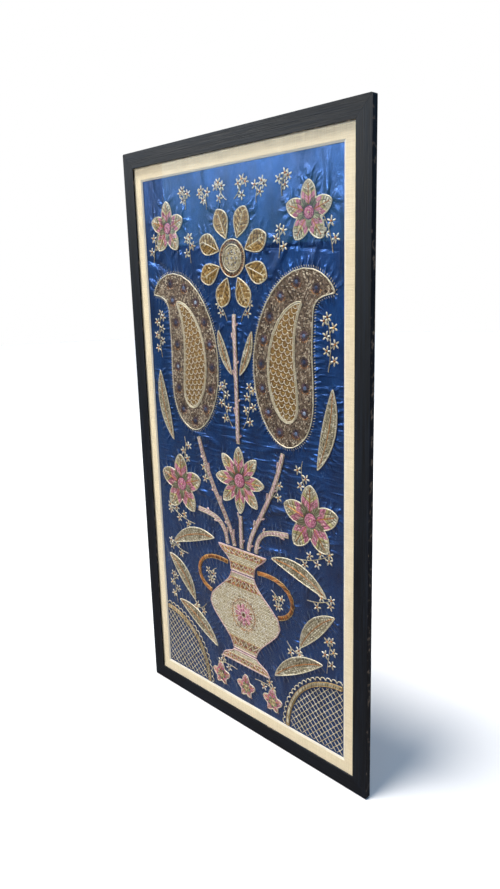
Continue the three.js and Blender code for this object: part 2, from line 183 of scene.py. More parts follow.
def light(name, kind, place, aim, power, colour=(1.0, 1.0, 1.0), **settings):
    """A light at a place, shining at its aim, that the camera doesn't see."""
    data = bpy.data.lights.new(name, kind)
    data.energy = power
    data.color = colour
    for key, value in settings.items():
        setattr(data, key, value)
    made = new_object(name, data)
    away = (place - aim).normalized()
    made.matrix_world = Matrix.Translation(place) @ away.to_track_quat("Z", "Y").to_matrix().to_4x4()
    made.visible_camera = False


def level_aim(place):
    """The point of the panel's middle line that is level with a place."""
    return Vector((0, 0, place.z))


def mirrored_sight(x, z):
    """Where a sight line from the camera, turned back by the pane at x, z, ends at the card."""
    pane = Vector((x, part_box("glass")[0].y, z))
    sight = (pane - CAMERA_PLACE).normalized()
    sight.y = -sight.y
    return pane + sight * (CARD_DISTANCE / Vector((sight.x, sight.y, 0)).length)


low_left = mirrored_sight(PATCH_LEFT, PATCH_LOW)
low_right = mirrored_sight(PATCH_RIGHT, PATCH_LOW)
card_width = (low_right - low_left).length
card_height = mirrored_sight(PATCH_LEFT, PATCH_HIGH).z - low_left.z
card_place = (low_left + low_right) / 2
card_place.z += card_height / 2
light("top_light", "SUN", SUN_TILT, Vector((0, 0, 0)), SUN_POWER, angle=SUN_ANGLE)
light("key", "AREA", KEY_PLACE, MIDDLE, KEY_POWER, KEY_COLOUR, shape="DISK", size=KEY_SIZE)
light("sky_card", "AREA", card_place, level_aim(card_place), CARD_POWER, CARD_COLOUR,
      shape="RECTANGLE", size=card_width, size_y=card_height)
light("front_strip", "AREA", STRIP_PLACE, level_aim(STRIP_PLACE), STRIP_POWER,
      shape="RECTANGLE", size=STRIP_SIZE[0], size_y=STRIP_SIZE[1])
light("back_fill", "AREA", BACK_PLACE, MIDDLE, BACK_POWER, shape="DISK", size=BACK_SIZE)

# The surround: plain white to the camera. To every other ray it is a soft studio, from a pale ground
# through a dim horizon up to a pale blue sky.
SURROUND_LOW = rgb(176, 164, 160)
SURROUND_MIDDLE = rgb(58, 66, 80)
SURROUND_HIGH = rgb(160, 206, 255)
SURROUND_STRENGTH = 0.42


def calc(operation, *values, clamp=False):
    """What a Math node makes of numbers and sockets."""
    inputs = dict(enumerate(values))
    return add(tree_of(values), "Math", inputs, operation=operation, use_clamp=clamp).outputs[0]


def scaled(value, by, plus, clamp=False):
    """A value multiplied, then added to, and held between 0 and 1 if clamped."""
    return calc("MULTIPLY_ADD", value, by, plus, clamp=clamp)


def split(value):
    """The X, Y and Z of a vector."""
    return add(value.id_data, "SeparateXYZ", {0: value}).outputs[:]


world = bpy.data.worlds.new("studio")
world.use_nodes = True
bpy.context.scene.world = world
tree = world.node_tree
height = split(add(tree, "TexCoord").outputs["Generated"])[2]
surround = add(tree, "ValToRGB", {0: scaled(height, 0.5, 0.5)})
ramp = surround.color_ramp
for stop, place, colour in ((0, 0.30, SURROUND_LOW), (1, 0.62, SURROUND_HIGH)):
    ramp.elements[stop].position = place
    ramp.elements[stop].color = colour
for place in (0.42, 0.53):
    ramp.elements.new(place).color = SURROUND_MIDDLE
seen = add(tree, "LightPath").outputs["Is Camera Ray"]
white = add(tree, "Background", {"Color": (1, 1, 1, 1), "Strength": 1.0}).outputs[0]
soft = add(tree, "Background", {"Color": surround.outputs[0], "Strength": SURROUND_STRENGTH}).outputs[0]
sky = add(tree, "MixShader", {0: seen, 1: soft, 2: white}).outputs[0]
wire(tree.nodes["World Output"], {"Surface": sky})

# The frame: four lengths of flat, open-grained wood moulding, stained black, mitred and glued.
# The grain runs along each rail, pores lie open in it, and the arrises are rubbed paler.
RAIL_WIDTH = 40 * MM
PANEL_MIDDLE = (cad_box[0] + cad_box[1]) / 2
PANEL_HALF = (cad_box[1] - cad_box[0]) / 2
STAIN = rgb(10, 10, 11)
# The pores' paler tone is the real grain, tinted slate blue as a painted reflection of the sky.
PORE_PALE_AND_SKY_TINT = rgb(26, 38, 52)
BARE_WOOD = rgb(120, 104, 88)


def noise(place, scale=1.0, detail=2.0, roughness=0.5, distortion=0.0, stretch=None, turned=(0, 0, 0)):
    """Noise over a place, which may first be turned and scaled along each axis."""
    tree = place.id_data
    if stretch:
        place = add(tree, "Mapping", {0: place, "Rotation": turned, "Scale": stretch}).outputs[0]
    inputs = {0: place, "Scale": scale, "Detail": detail, "Roughness": roughness, "Distortion": distortion}
    return add(tree, "TexNoise", inputs).outputs[0]


def bumped(height, strength, distance):
    """The normals of a surface with a relief."""
    inputs = {"Height": height, "Strength": strength, "Distance": distance}
    return add(height.id_data, "Bump", inputs).outputs[0]


def new_group(name, inputs, outputs):
    """An empty shader node group with named sockets, its given values and its output node."""
    group = bpy.data.node_groups.new(name, "ShaderNodeTree")
    kinds = {1: "NodeSocketFloat", 3: "NodeSocketVector", 4: "NodeSocketColor"}
    for title, value in inputs.items():
        socket = group.interface.new_socket(title, in_out="INPUT", socket_type=kinds[np.size(value)])
        socket.default_value = value
    for title in outputs:
        kind = "NodeSocketColor" if title == "Color" else "NodeSocketFloat"
        group.interface.new_socket(title, in_out="OUTPUT", socket_type=kind)
    return group, group.nodes.new("NodeGroupInput").outputs, group.nodes.new("NodeGroupOutput")


open_grain, given, result = new_group(
    "open_grain", {"Place": (0, 0, 0), "Dark": STAIN, "Pale": PORE_PALE_AND_SKY_TINT}, ("Color", "Roughness", "Height")
)
pores = noise(given["Place"], detail=3.0, roughness=0.6, stretch=(420, 420, 9))
bands = noise(given["Place"], stretch=(70, 70, 2.2))
streak = scaled(pores, 2.6, -0.8, clamp=True)
tint = mixed(calc("MULTIPLY", streak, bands), given["Dark"], given["Pale"])
wire(result, {"Color": tint, "Roughness": scaled(pores, 0.25, 0.36), "Height": streak})

edge_wear, given, result = new_group(
    "edge_wear", {"Place": (0, 0, 0), "Off Middle": 0.0, "Half Width": 0.02}, ("Wear",)
)
near = calc("DIVIDE", calc("ABSOLUTE", given["Off Middle"]), given["Half Width"])
rim = scaled(near, 14.0, -13.1, clamp=True)
patchy = scaled(noise(given["Place"], 65.0, 5.0), 7.0, -3.9, clamp=True)
wire(result, {"Wear": calc("MULTIPLY", rim, patchy)})


def rail_material(name, across, turned):
    """Black-stained wood for a rail whose width lies along one axis, with its grain square to that."""
    made, tree, shader = new_material(name)
    place = add(tree, "TexCoord").outputs["Object"]
    lying = add(tree, "Mapping", {0: place, "Rotation": turned}).outputs[0]
    inputs = {"Place": lying, "Dark": STAIN, "Pale": PORE_PALE_AND_SKY_TINT}
    grain = add(tree, "Group", inputs, node_tree=open_grain).outputs
    side = calc("SUBTRACT", split(place)[across], PANEL_MIDDLE[across])
    off = calc("SUBTRACT", calc("ABSOLUTE", side), PANEL_HALF[across] - RAIL_WIDTH / 2)
    inputs = {"Place": place, "Off Middle": off, "Half Width": RAIL_WIDTH / 2}
    wear = add(tree, "Group", inputs, node_tree=edge_wear).outputs["Wear"]
    rubbed = scaled(noise(place, 23.0, 6.0, 0.7), 12.0, -8.6, clamp=True)
    worn = calc("MAXIMUM", wear, calc("MULTIPLY", rubbed, 0.5))
    wire(shader, {
        "Base Color": mixed(worn, grain["Color"], BARE_WOOD),
        "Roughness": grain["Roughness"],
        "Normal": bumped(grain["Height"], 0.6, 0.5 * MM),
        "Specular IOR Level": 0.32,
    })
    return made


def dress(node, material):
    """Gives a CAD node's object its material."""
    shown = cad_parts[node]
    shown.data.materials.clear()
    shown.data.materials.append(material)


upright_wood = rail_material("black_wood_upright", 0, (0, 0, 0))
level_wood = rail_material("black_wood_level", 2, (0, math.pi / 2, 0))
for node, wood in (("rail_left", upright_wood), ("rail_right", upright_wood),
                   ("rail_top", level_wood), ("rail_bottom", level_wood)):
    dress(node, wood)

# The pane: 2 mm picture glass, clear, with a breath of dust, held behind the lip of the rails.
# Light passes straight through it to the cloth.
GLASS_TINT = (0.985, 0.995, 0.99, 1)
SHADOW_TINT = (0.96, 0.97, 0.965, 1)
glass_material, tree, shader = new_material("picture_glass")
dust = noise(add(tree, "TexCoord").outputs["Object"], 9.0, 6.0)
wire(shader, {
    "Base Color": GLASS_TINT,
    "Roughness": scaled(dust, 0.05, -0.015, clamp=True),
    "Metallic": 0.0,
    "IOR": 1.5,
    "Transmission Weight": 1.0,
})
clear = add(tree, "BsdfTransparent", {"Color": SHADOW_TINT}).outputs[0]
shadow = add(tree, "LightPath").outputs["Is Shadow Ray"]
passed = add(tree, "MixShader", {0: shadow, 1: shader.outputs[0], 2: clear}).outputs[0]
wire(tree.nodes["Material Output"], {"Surface": passed})
dress("glass", glass_material)

# The mat: 3 mm board covered in warm cream linen, its window cut on a slope that shows paler.
# The threads run both ways, some thicker than others.
LINEN = rgb(240, 222, 190)
LINEN_DARK = rgb(224, 203, 168)
BEVEL_CORE = rgb(214, 205, 190)
BEVEL_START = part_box("linen_mat")[0].y + 0.1 * MM
BEVEL_BLEND = 0.35 * MM
THREADS_PER_METRE = 1150.0

linen_material, tree, shader = new_material("linen_weave")
place = add(tree, "TexCoord").outputs["Object"]
x, y, z = split(place)
wander = calc("MULTIPLY", noise(place, 30.0), 0.004)
warp, weft = (calc("SINE", calc("MULTIPLY", calc("ADD", axis, wander), THREADS_PER_METRE * math.pi))
              for axis in (x, z))
slub_x, slub_z = (noise(place, detail=1.0, stretch=stretch) for stretch in ((22, 1, 900), (900, 1, 22)))
slubs = calc("ADD", slub_x, slub_z)
linen = mixed(scaled(slubs, 2.4, -1.9, clamp=True), LINEN, LINEN_DARK)
core = scaled(y, 1 / BEVEL_BLEND, -BEVEL_START / BEVEL_BLEND, clamp=True)
wire(shader, {
    "Base Color": mixed(core, linen, BEVEL_CORE),
    "Normal": bumped(calc("ADD", calc("MULTIPLY", warp, weft), slubs), 0.3, 0.2 * MM),
    "Roughness": 0.85,
    "Sheen Weight": 0.15,
})
dress("linen_mat", linen_material)

# The board behind the cloth: brown hardboard, smooth and fibrous, lying in the rebate of the rails.
# It is all that shows between them from behind.
HARDBOARD = rgb(122, 92, 62)
HARDBOARD_DARK = rgb(88, 63, 41)
board_material, tree, shader = new_material("hardboard")
place = add(tree, "TexCoord").outputs["Object"]
fibres = noise(place, 260.0, 5.0, 0.7)
blotches = noise(place, 5.0, 4.0)
share = scaled(calc("ADD", fibres, blotches), 1.6, -1.1, clamp=True)
wire(shader, {
    "Base Color": mixed(share, HARDBOARD, HARDBOARD_DARK),
    "Normal": bumped(fibres, 0.25, 0.3 * MM),
    "Roughness": scaled(fibres, 0.3, 0.5),
})
dress("backing_board", board_material)

# The ground: one piece of royal blue satin, stretched on the board and slightly slack. The heavy
# needlework draws it into short puckers square to the edge of each motif, and it lies in long creases.
SIDES = ("left", "right")
FLOWERS = ("centre", "low_left", "low_right", "high_left", "high_right")
LEAVES = ("base", "outer", "mouth", "side", "upper")
PADS = {
    "paisley": [f"paisley_{side}" for side in SIDES],
    "drop": [f"paisley_drop_{side}" for side in SIDES],
    "petal": [f"rosette_petal_{number}" for number in range(1, 9)],
    "rosette": ["rosette_ring", "rosette_button"],
    "flower": [f"flower_{which}" for which in FLOWERS],
    "button": [f"flower_{which}_button" for which in FLOWERS],
    "stem": ["stem_low", "stem_high"]
            + [f"stem_{which}_{side}" for which in ("inner", "outer") for side in SIDES],
    "leaf": [f"leaf_{which}_{side}" for which in LEAVES for side in SIDES],
    "vase": ["vase_foot", "vase_body", "vase_neck"],
    "handle": [f"vase_handle_{side}" for side in SIDES],
    "lotus": ["lotus_1", "lotus_2", "lotus_3"],
    "fan": [f"fan_rim_{side}" for side in SIDES],
}
SATIN_FRONT = -7.1
SATIN_BACK = -5.6
SATIN_FORWARD = 0.18
SATIN_BACKWARD = 0.9
SATIN_GRID = 5.0
PUCKER_REACH = 28.0
PUCKER_PITCH = 15.0
PUCKER_DEPTH = 0.42
PUCKER_KINDS = 4096
TEAR_SHARE = 0.75
CREASE_BOW = 0.06
CREASE_DEPTH = 0.3
RELIEF_DEPTH = 2.5 * MM
FOLD_SHADE = 2.6
CREASE_SHADE = 2.0
RIDGE_SHADE = 1.6
GATHER_SHADE = 0.55
GATHER_LOW = -1.02
GATHER_HIGH = -0.42
GATHER_SOFT = 7.0
SATIN_BLUE = rgb(4, 64, 128)
SATIN_DEEP = rgb(6, 32, 74)
SATIN_SHEEN = (0.35, 0.6, 1.0, 1)

# Each crease runs from one x, z to another, is half so wide, and stands so high or, below 0, so low.
CREASES = [
    ((236, -92), (110, -318), 9, 1.0),
    ((286, -84), (232, -300), 7, 0.7),
    ((322, -120), (300, -420), 8, 0.6),
    ((-330, -250), (-215, -300), 6, -0.8),
    ((-336, -300), (-230, -372), 6, 0.9),
    ((-60, -268), (330, -262), 3.5, -0.5),
    ((-336, -560), (-262, -600), 6, 0.7),
    ((318, -560), (262, -690), 6, 0.8),
    ((-215, -848), (-96, -872), 8, 0.9),
    ((-196, -700), (-60, -724), 8, 0.7),
    ((64, -716), (190, -690), 8, 0.7),
    ((-190, -904), (-70, -934), 8, 0.9),
    ((70, -868), (196, -846), 8, 0.9),
    ((96, -930), (238, -890), 8, 0.8),
    ((60, -968), (180, -956), 7, 0.8),
    ((-230, -968), (-90, -984), 7, 0.8),
    ((250, -800), (334, -842), 8, 0.7),
    ((-336, -1010), (-290, -1130), 7, 0.4),
    ((-110, -1330), (-20, -1400), 6, 0.5),
    ((60, -1300), (130, -1392), 6, 0.5),
]


def merged_copy(node):
    """A bmesh of a CAD node with its loose triangles joined."""
    bm = bmesh.new()
    bm.from_mesh(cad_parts[node].data)
    bmesh.ops.remove_doubles(bm, verts=bm.verts, dist=0.01 * MM)
    bm.verts.index_update()
    bm.verts.ensure_lookup_table()
    return bm


def on_back_rim(edge):
    """Whether an edge of a pad lies between its flat back and its sides."""
    return sum(face.normal.y > 0.9 for face in edge.link_faces) == 1


def rim_rings(node):
    """The edge of a pad's flat back, as closed rings of x, z in millimetres, anticlockwise."""
    bm = merged_copy(node)
    links = {}
    for edge in filter(on_back_rim, bm.edges):
        for one, other in (edge.verts, reversed(edge.verts)):
            links.setdefault(one.index, []).append(other.index)
    rings = []
    while links:
        start = here = next(iter(links))
        ring = [start]
        onward = links.pop(start)[0]
        while onward != start:
            ring.append(onward)
            ways = links.pop(onward)
            here, onward = onward, ways[0] if ways[0] != here else ways[1]
        flat = np.array([[bm.verts[i].co.x, bm.verts[i].co.z] for i in ring]) / MM
        area = np.sum(flat[:, 0] * np.roll(flat[:, 1], -1) - flat[:, 1] * np.roll(flat[:, 0], -1))
        rings.append(flat if area > 0 else flat[::-1])
    bm.free()
    return sorted(rings, key=lambda ring: -np.ptp(ring[:, 1]))


def point_along(path, share):
    """Points of an open path at the given shares of its length."""
    steps = np.linalg.norm(np.diff(path, axis=0), axis=1)
    reach = np.concatenate([[0], np.cumsum(steps)])
    at = np.asarray(share) * reach[-1]
    return np.stack([np.interp(at, reach, path[:, axis]) for axis in range(path.shape[1])], axis=-1)


def path_length(path):
    """The length of an open path."""
    return float(np.linalg.norm(np.diff(path, axis=0), axis=1).sum())


def closed(ring):
    """A ring with its first point again at its end."""
    return np.vstack([ring, ring[:1]])


def even_ring(ring, step):
    """A ring with even points about one step apart."""
    path = closed(ring)
    count = max(8, round(path_length(path) / step))
    return point_along(path, np.arange(count) / count)


rings_of = {node: rim_rings(node) for nodes in PADS.values() for node in nodes}
edge_points = []
for ring in (ring for rings in rings_of.values() for ring in rings):
    fine_ring = even_ring(ring, 3.0)
    travelled = np.arange(len(fine_ring)) * path_length(closed(ring)) / len(fine_ring)
    edge_points.append(np.column_stack([fine_ring, travelled]))
edge_points = np.vstack(edge_points)
edge_tree = KDTree(len(edge_points))
for number, (x, z, _) in enumerate(edge_points):
    edge_tree.insert((x, 0, z), number)
edge_tree.balance()

satin_low, satin_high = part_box("satin_ground")
satin_size = satin_high - satin_low
satin_middle = (satin_high + satin_low) / 2
columns, rows = (round(length / MM / SATIN_GRID) for length in (satin_size.x, satin_size.z))
bm = bmesh.new()
bmesh.ops.create_grid(bm, x_segments=columns, y_segments=rows, size=0.5)
bmesh.ops.scale(bm, verts=bm.verts, vec=(satin_size.x, satin_size.z, 1))
bmesh.ops.rotate(bm, verts=bm.verts, matrix=Matrix.Rotation(math.pi / 2, 3, "X"))
bmesh.ops.translate(bm, verts=bm.verts, vec=(satin_middle.x, SATIN_FRONT * MM, satin_middle.z))
pull = bm.verts.layers.float_vector.new("pull")
bm.verts.index_update()
spots = np.array([(vert.co.x, vert.co.z) for vert in bm.verts]) / MM

creases = np.zeros(len(spots))
for start, end, half, high in CREASES:
    run = np.subtract(end, start).astype(float)
    along = np.clip((spots - start) @ run / (run @ run), 0, 1)
    bow = np.sin(along * math.pi)[:, None] * np.array([-run[1], run[0]]) * CREASE_BOW
    away = np.linalg.norm(spots - start - along[:, None] * run - bow, axis=1)
    creases += high * np.sin(np.clip(along, 0.04, 0.96) * math.pi) * np.exp(-((away / half) ** 2))

# Each point is pulled by the nearest edge of a pad. Where that jumps between neighbours, as midway
# between two pads, the puckers fade out.
rng = np.random.default_rng(11)
strength = rng.uniform(0.1, 1.0, PUCKER_KINDS)
found = [edge_tree.find((x, 0, z)) for x, z in spots]
travelled_at = np.array([edge_points[number, 2] for _, number, _ in found])
torn = np.ones(len(spots))
for edge in bm.edges:
    one, other = (vert.index for vert in edge.verts)
    if abs(travelled_at[one] - travelled_at[other]) > PUCKER_PITCH * TEAR_SHARE:
        torn[[one, other]] = 0.0
solid = merged_copy("satin_ground")
creased = BVHTree.FromBMesh(solid)
solid.free()
for vert in bm.verts:
    x, z = spots[vert.index]
    seen_at = creased.ray_cast(Vector((vert.co.x, -1, vert.co.z)), Vector((0, 1, 0)))[0]
    hollow = (seen_at.y / MM - SATIN_FRONT) if seen_at else 0.0
    _, number, away = found[vert.index]
    travelled = travelled_at[vert.index]
    force = strength[(int(travelled / PUCKER_PITCH) * 7 + number // 60) % PUCKER_KINDS]
    wave = math.sin(math.tau * travelled / PUCKER_PITCH + 0.05 * away)
    beside = min(torn[edge.other_vert(vert).index] for edge in vert.link_edges)
    fade = math.exp(-((away / PUCKER_REACH) ** 2) * 2.2) * torn[vert.index] * (0.5 + 0.5 * beside)
    slack = 0.10 * math.sin(x / 31 + 1.3 * math.sin(z / 57)) + 0.08 * math.sin(z / 43 + x / 90)
    depth = hollow + PUCKER_DEPTH * force * fade * (0.6 + 0.8 * wave) + slack
    depth -= CREASE_DEPTH * creases[vert.index]
    vert.co.y += MM * min(max(depth, -SATIN_FORWARD), SATIN_BACKWARD)
    vert[pull] = (travelled / PUCKER_PITCH, fade * force, creases[vert.index])

rim = [edge for edge in bm.edges if edge.is_boundary]
grown = bmesh.ops.extrude_edge_only(bm, edges=rim)["geom"]
for vert in grown:
    if isinstance(vert, bmesh.types.BMVert):
        vert.co.y = SATIN_BACK * MM
back_rim = [edge for edge in grown if isinstance(edge, bmesh.types.BMEdge) and edge.is_boundary]
bmesh.ops.edgeloop_fill(bm, edges=back_rim)
bmesh.ops.recalc_face_normals(bm, faces=bm.faces)
for face in bm.faces:
    face.smooth = True

satin_material, tree, shader = new_material("blue_satin")
place = add(tree, "TexCoord").outputs["Object"]
drift = noise(place, detail=3.0, stretch=(26, 1, 9))
mottle = noise(place, 640.0)
floats = noise(place, detail=1.0, stretch=(2600, 1, 60))
share = calc("ADD", scaled(drift, 1.7, -0.9), mottle, clamp=True)
travelled, pulled, creasing = split(add(tree, "Attribute", attribute_name="pull").outputs["Vector"])
phase = calc("MULTIPLY", calc("ADD", travelled, noise(place, 28.0, 1.0)), math.tau)
ridges = calc("MULTIPLY", calc("POWER", scaled(calc("SINE", phase), 0.5, 0.5), 1.8), pulled)
folds = noise(place, distortion=0.8, stretch=(11, 1, 3.2), turned=(0, 0.35, 0))
level = split(place)[2]
above = calc("MULTIPLY", calc("SUBTRACT", level, GATHER_LOW), GATHER_SOFT, clamp=True)
below = calc("MULTIPLY", calc("SUBTRACT", GATHER_HIGH, level), GATHER_SOFT, clamp=True)
streaks = scaled(noise(place, detail=1.5, distortion=0.3, stretch=(9, 1, 80)), 3.6, -1.7, clamp=True)
gathers = calc("MULTIPLY", streaks, calc("MULTIPLY", above, below))
height = calc("MULTIPLY", mottle, 0.08)
for relief, shade in ((folds, FOLD_SHADE), (gathers, GATHER_SHADE), (ridges, RIDGE_SHADE),
                      (creasing, CREASE_SHADE), (floats, 0.03)):
    height = scaled(relief, shade, height)
wire(shader, {
    "Base Color": mixed(share, SATIN_BLUE, SATIN_DEEP),
    "Normal": bumped(height, 1.0, RELIEF_DEPTH),
    "Roughness": scaled(floats, 0.14, 0.22),
    "Metallic": 0.6,
    "Specular IOR Level": 0.35,
    "Sheen Weight": 0.12,
    "Sheen Tint": SATIN_SHEEN,
})
satin = object_from("satin", bm, satin_material)
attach(satin, "root")
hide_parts("satin_ground")

# The paisleys: felt-padded fields covered in short bars of bronze metal thread, laid in leaning
# rows, with a gold drop set in each. Dark eyes with blue foil hearts sit round the drop.
STITCH_SINK = 0.12
PANE_CLEARANCE = -10.45
PADDING_SHARE = 0.72
COIL_PITCH = 0.7
EDGE_CORD = 1.5
EYE_PITCH = 58.0
EYE_INSET = 25.0
EYE_ROOM = 13.5
FIELD_ROW = 5.2
FIELD_PITCH = 3.0
FIELD_BAR = 8.4
FIELD_LEAN = math.radians(38)
GLINT_FLECK_SHARE = 0.16
SCALE_ROW = 13.0
SCALE_WIDTH = 17.0
# Each thread's four tones: the darkest is painted shade, as in the gaps, and the brightest a painted glint;
# the middle two are its own colour.
BRONZE = (rgb(66, 48, 38), rgb(134, 110, 90), rgb(172, 148, 122), rgb(238, 222, 196))
GOLD = (rgb(92, 60, 22), rgb(156, 118, 56), rgb(200, 162, 92), rgb(250, 232, 184))
CREAM = (rgb(128, 108, 78), rgb(208, 192, 156), rgb(238, 226, 198), rgb(255, 250, 238))
COPPER = (rgb(92, 44, 14), rgb(164, 92, 32), rgb(204, 126, 52), rgb(250, 196, 120))
PLUM = (rgb(26, 14, 24), rgb(48, 28, 44), rgb(84, 54, 70), rgb(150, 116, 128))
SKY = (rgb(40, 52, 88), rgb(78, 96, 136), rgb(112, 132, 170), rgb(176, 190, 214))
TONES_SHADE_TO_GLINT = ("Darkest", "Dark", "Bright", "Brightest")

wound_thread, given, result = new_group(
    "wound_thread", {"Lay": (0, 0, 0), **dict(zip(TONES_SHADE_TO_GLINT, BRONZE))}, ("Color", "Roughness", "Height")
)
along, around, pick = split(given["Lay"])
turned = calc("ADD", calc("MULTIPLY", along, math.tau / COIL_PITCH), calc("MULTIPLY", around, math.tau))
coil = scaled(calc("SINE", turned), 0.5, 0.5)
tint = given["Darkest"]
for title, by, plus in (("Dark", 3.4, -0.35), ("Bright", 2.6, -1.0), ("Brightest", 7.0, -6.0)):
    tint = mixed(scaled(pick, by, plus, clamp=True), tint, given[title])
# The coil's grooves darken the thread's colour: painted shade in them, besides their bump.
painted_groove_shade = scaled(coil, 0.35, 0.65)
groove_shade_grey = add(wound_thread, "CombineColor", {0: painted_groove_shade, 1: painted_groove_shade, 2: painted_groove_shade}).outputs[0]
tint = mixed(1.0, tint, groove_shade_grey, "MULTIPLY")
wire(result, {"Color": tint, "Roughness": scaled(coil, -0.14, 0.44), "Height": coil})


def thread_material(name, colours, metal):
    """Thread in four tones picked for each stitch by its own tint: the middle two are the thread's own, the
    darkest is painted shade as in the gaps, the brightest a painted glint.
    """
    made, tree, shader = new_material(name)
    lay = add(tree, "Attribute", attribute_name="lay").outputs["Vector"]
    inputs = {"Lay": lay, **dict(zip(TONES_SHADE_TO_GLINT, colours))}
    thread = add(tree, "Group", inputs, node_tree=wound_thread).outputs
    wire(shader, {
        "Base Color": thread["Color"],
        "Roughness": thread["Roughness"],
        "Normal": bumped(thread["Height"], 0.5, 0.12 * MM),
        "Metallic": metal,
    })
    return made


def slot_of(thread):
    """The slot that a thread's material is named after, without the number that Blender adds."""
    return thread.name.split(".")[0]


def padding_material(name, colours, metal):
    """The laid thread that shows between the stitches, in the thread's two darkest tones as painted shade
    between them: fine lines and dark gaps.
    """
    made, tree, shader = new_material(name)
    place = add(tree, "TexCoord").outputs["Object"]
    lines = noise(place, 620.0, 3.0, distortion=0.6)
    gaps = add(tree, "TexVoronoi", {0: place, "Scale": 330.0}).outputs["Distance"]
    wire(shader, {
        "Base Color": mixed(scaled(lines, 3.0, -1.1, clamp=True), colours[0], colours[1]),
        "Roughness": scaled(lines, 0.3, 0.4),
        "Normal": bumped(calc("SUBTRACT", lines, gaps), 0.6, 0.6 * MM),
        "Metallic": metal,
    })
    return made


def pad(node, material):
    """The padded form under the stitches: the CAD pad's own dome, rounded finer, with a firm rim."""
    bm = merged_copy(node)
    crease = bm.edges.layers.float.new("crease_edge")
    for edge in filter(on_back_rim, bm.edges):
        edge[crease] = 1.0
    back = max(vert.co.y for vert in bm.verts)
    hinge = Matrix.Translation((0, -back, 0))
    bmesh.ops.scale(bm, verts=bm.verts, vec=(1, PADDING_SHARE, 1), space=hinge)
    fronts = [face for face in bm.faces if face.normal.y < 0.9]
    bmesh.ops.join_triangles(bm, faces=fronts, angle_face_threshold=0.9, angle_shape_threshold=1.2)
    for face in bm.faces:
        face.smooth = True
    made = object_from(node + "_pad", bm, material)
    rounding = made.modifiers.new("rounding", "SUBSURF")
    rounding.levels = rounding.render_levels = 1
    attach(made, "root")
    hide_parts(node)
    return made


def seat_of(piece):
    """The shape that stitches are laid on, ready to be asked for the height at a place."""
    shape = piece.evaluated_get(bpy.context.evaluated_depsgraph_get()).to_mesh()
    corners = [vert.co.copy() for vert in shape.vertices]
    return BVHTree.FromPolygons(corners, [list(face.vertices) for face in shape.polygons])


def heights(seat, places):
    """The depth, in millimetres, of the seat's front at each x, z, or of the satin beside it."""
    found = np.full(len(places), SATIN_FRONT)
    for number, (x, z) in enumerate(places):
        hit = seat.ray_cast(Vector((x * MM, -1, z * MM)), Vector((0, 1, 0)))[0]
        if hit:
            found[number] = hit.y / MM
    return found


def seed(make):
    """The vertices and triangles of one small shape, to be laid many times."""
    bm = bmesh.new()
    make(bm)
    bmesh.ops.triangulate(bm, faces=bm.faces)
    bm.verts.index_update()
    corners = np.array([vert.co for vert in bm.verts])
    faces = np.array([[vert.index for vert in face.verts] for face in bm.faces])
    bm.free()
    return corners, faces


def sequin_shape(bm):
    """A cupped disc with a hole-like dimple, one across, lying across Z."""
    bmesh.ops.create_cone(bm, cap_ends=True, segments=9, radius1=0.5, radius2=0.36, depth=0.22)
    top = max(bm.faces, key=lambda face: face.calc_center_median().z)
    bmesh.ops.inset_region(bm, faces=[top], thickness=0.2, depth=-0.14)


GRAIN = seed(lambda bm: bmesh.ops.create_uvsphere(bm, u_segments=5, v_segments=3, radius=0.5))
BEAD = seed(lambda bm: bmesh.ops.create_uvsphere(bm, u_segments=6, v_segments=4, radius=0.5))
SEQUIN = seed(sequin_shape)


def unit(steps):
    """Steps made one long each."""
    return steps / np.maximum(np.linalg.norm(steps, axis=1), 1e-6)[:, None]


def sewn(name, mesh, lay, thread, slot):
    """A piece of needlework on the one body. Its slot, its thread's own if none is given, is worked out but
    not used.
    """
    mesh.attributes.new("lay", "FLOAT_VECTOR", "POINT").data.foreach_set("vector", lay.ravel())
    mesh.materials.clear()
    mesh.materials.append(thread)
    mesh.shade_smooth()
    slot = slot or slot_of(thread)
    made = new_object(name, mesh)
    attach(made, "root")


def joined(name, shape, middles, axes, tints, thread, slot):
    """One mesh of a small shape laid many times. Each row of axes holds its side, depth and run."""
    corners, faces = shape
    count = len(middles)
    placed = np.einsum("vk,nkc->nvc", corners, axes) + middles[:, None, :]
    lay = np.empty((count, len(corners), 3))
    lay[:, :, 0] = np.linalg.norm(axes[:, 2], axis=1)[:, None] * corners[:, 2]
    lay[:, :, 1] = np.arctan2(corners[:, 0], corners[:, 1]) / math.tau
    lay[:, :, 2] = (rng.random(count) if tints is None else np.asarray(tints))[:, None]
    all_faces = faces[None] + (np.arange(count) * len(corners))[:, None, None]
    mesh = bpy.data.meshes.new(name)
    mesh.vertices.add(count * len(corners))
    mesh.vertices.foreach_set("co", (placed * MM).ravel())
    mesh.loops.add(all_faces.size)
    mesh.loops.foreach_set("vertex_index", all_faces.ravel())
    mesh.polygons.add(all_faces.size // 3)
    mesh.polygons.foreach_set("loop_start", np.arange(0, all_faces.size, 3))
    mesh.update(calc_edges=True)
    sewn(name, mesh, lay, thread, slot)


def bars(name, seat, starts, ends, width, thread, slot=None, tints=None, rise=None, lift=0.0):
    """Laid bars of thread from starts to ends, half sunk in what they are sewn on."""
    starts, ends = np.asarray(starts, float), np.asarray(ends, float)
    middles = (starts + ends) / 2
    rise = 0.8 * width if rise is None else rise
    depth_start, depth_end = heights(seat, starts), heights(seat, ends)
    depth = np.minimum(heights(seat, middles), (depth_start + depth_end) / 2) - rise * STITCH_SINK - lift
    depth = np.maximum(depth, PANE_CLEARANCE + rise / 2)
    flat = ends - starts
    run = np.column_stack([flat[:, 0], (depth_end - depth_start) * 0.8, flat[:, 1]])
    side = unit(np.cross(run, [0.0, 1.0, 0.0]))
    out = unit(np.cross(side, run))
    axes = np.stack([side * width, out * rise, run * 1.06], axis=1)
    middles = np.column_stack([middles[:, 0], depth, middles[:, 1]])
    joined(name, GRAIN, middles, axes, tints, thread, slot)


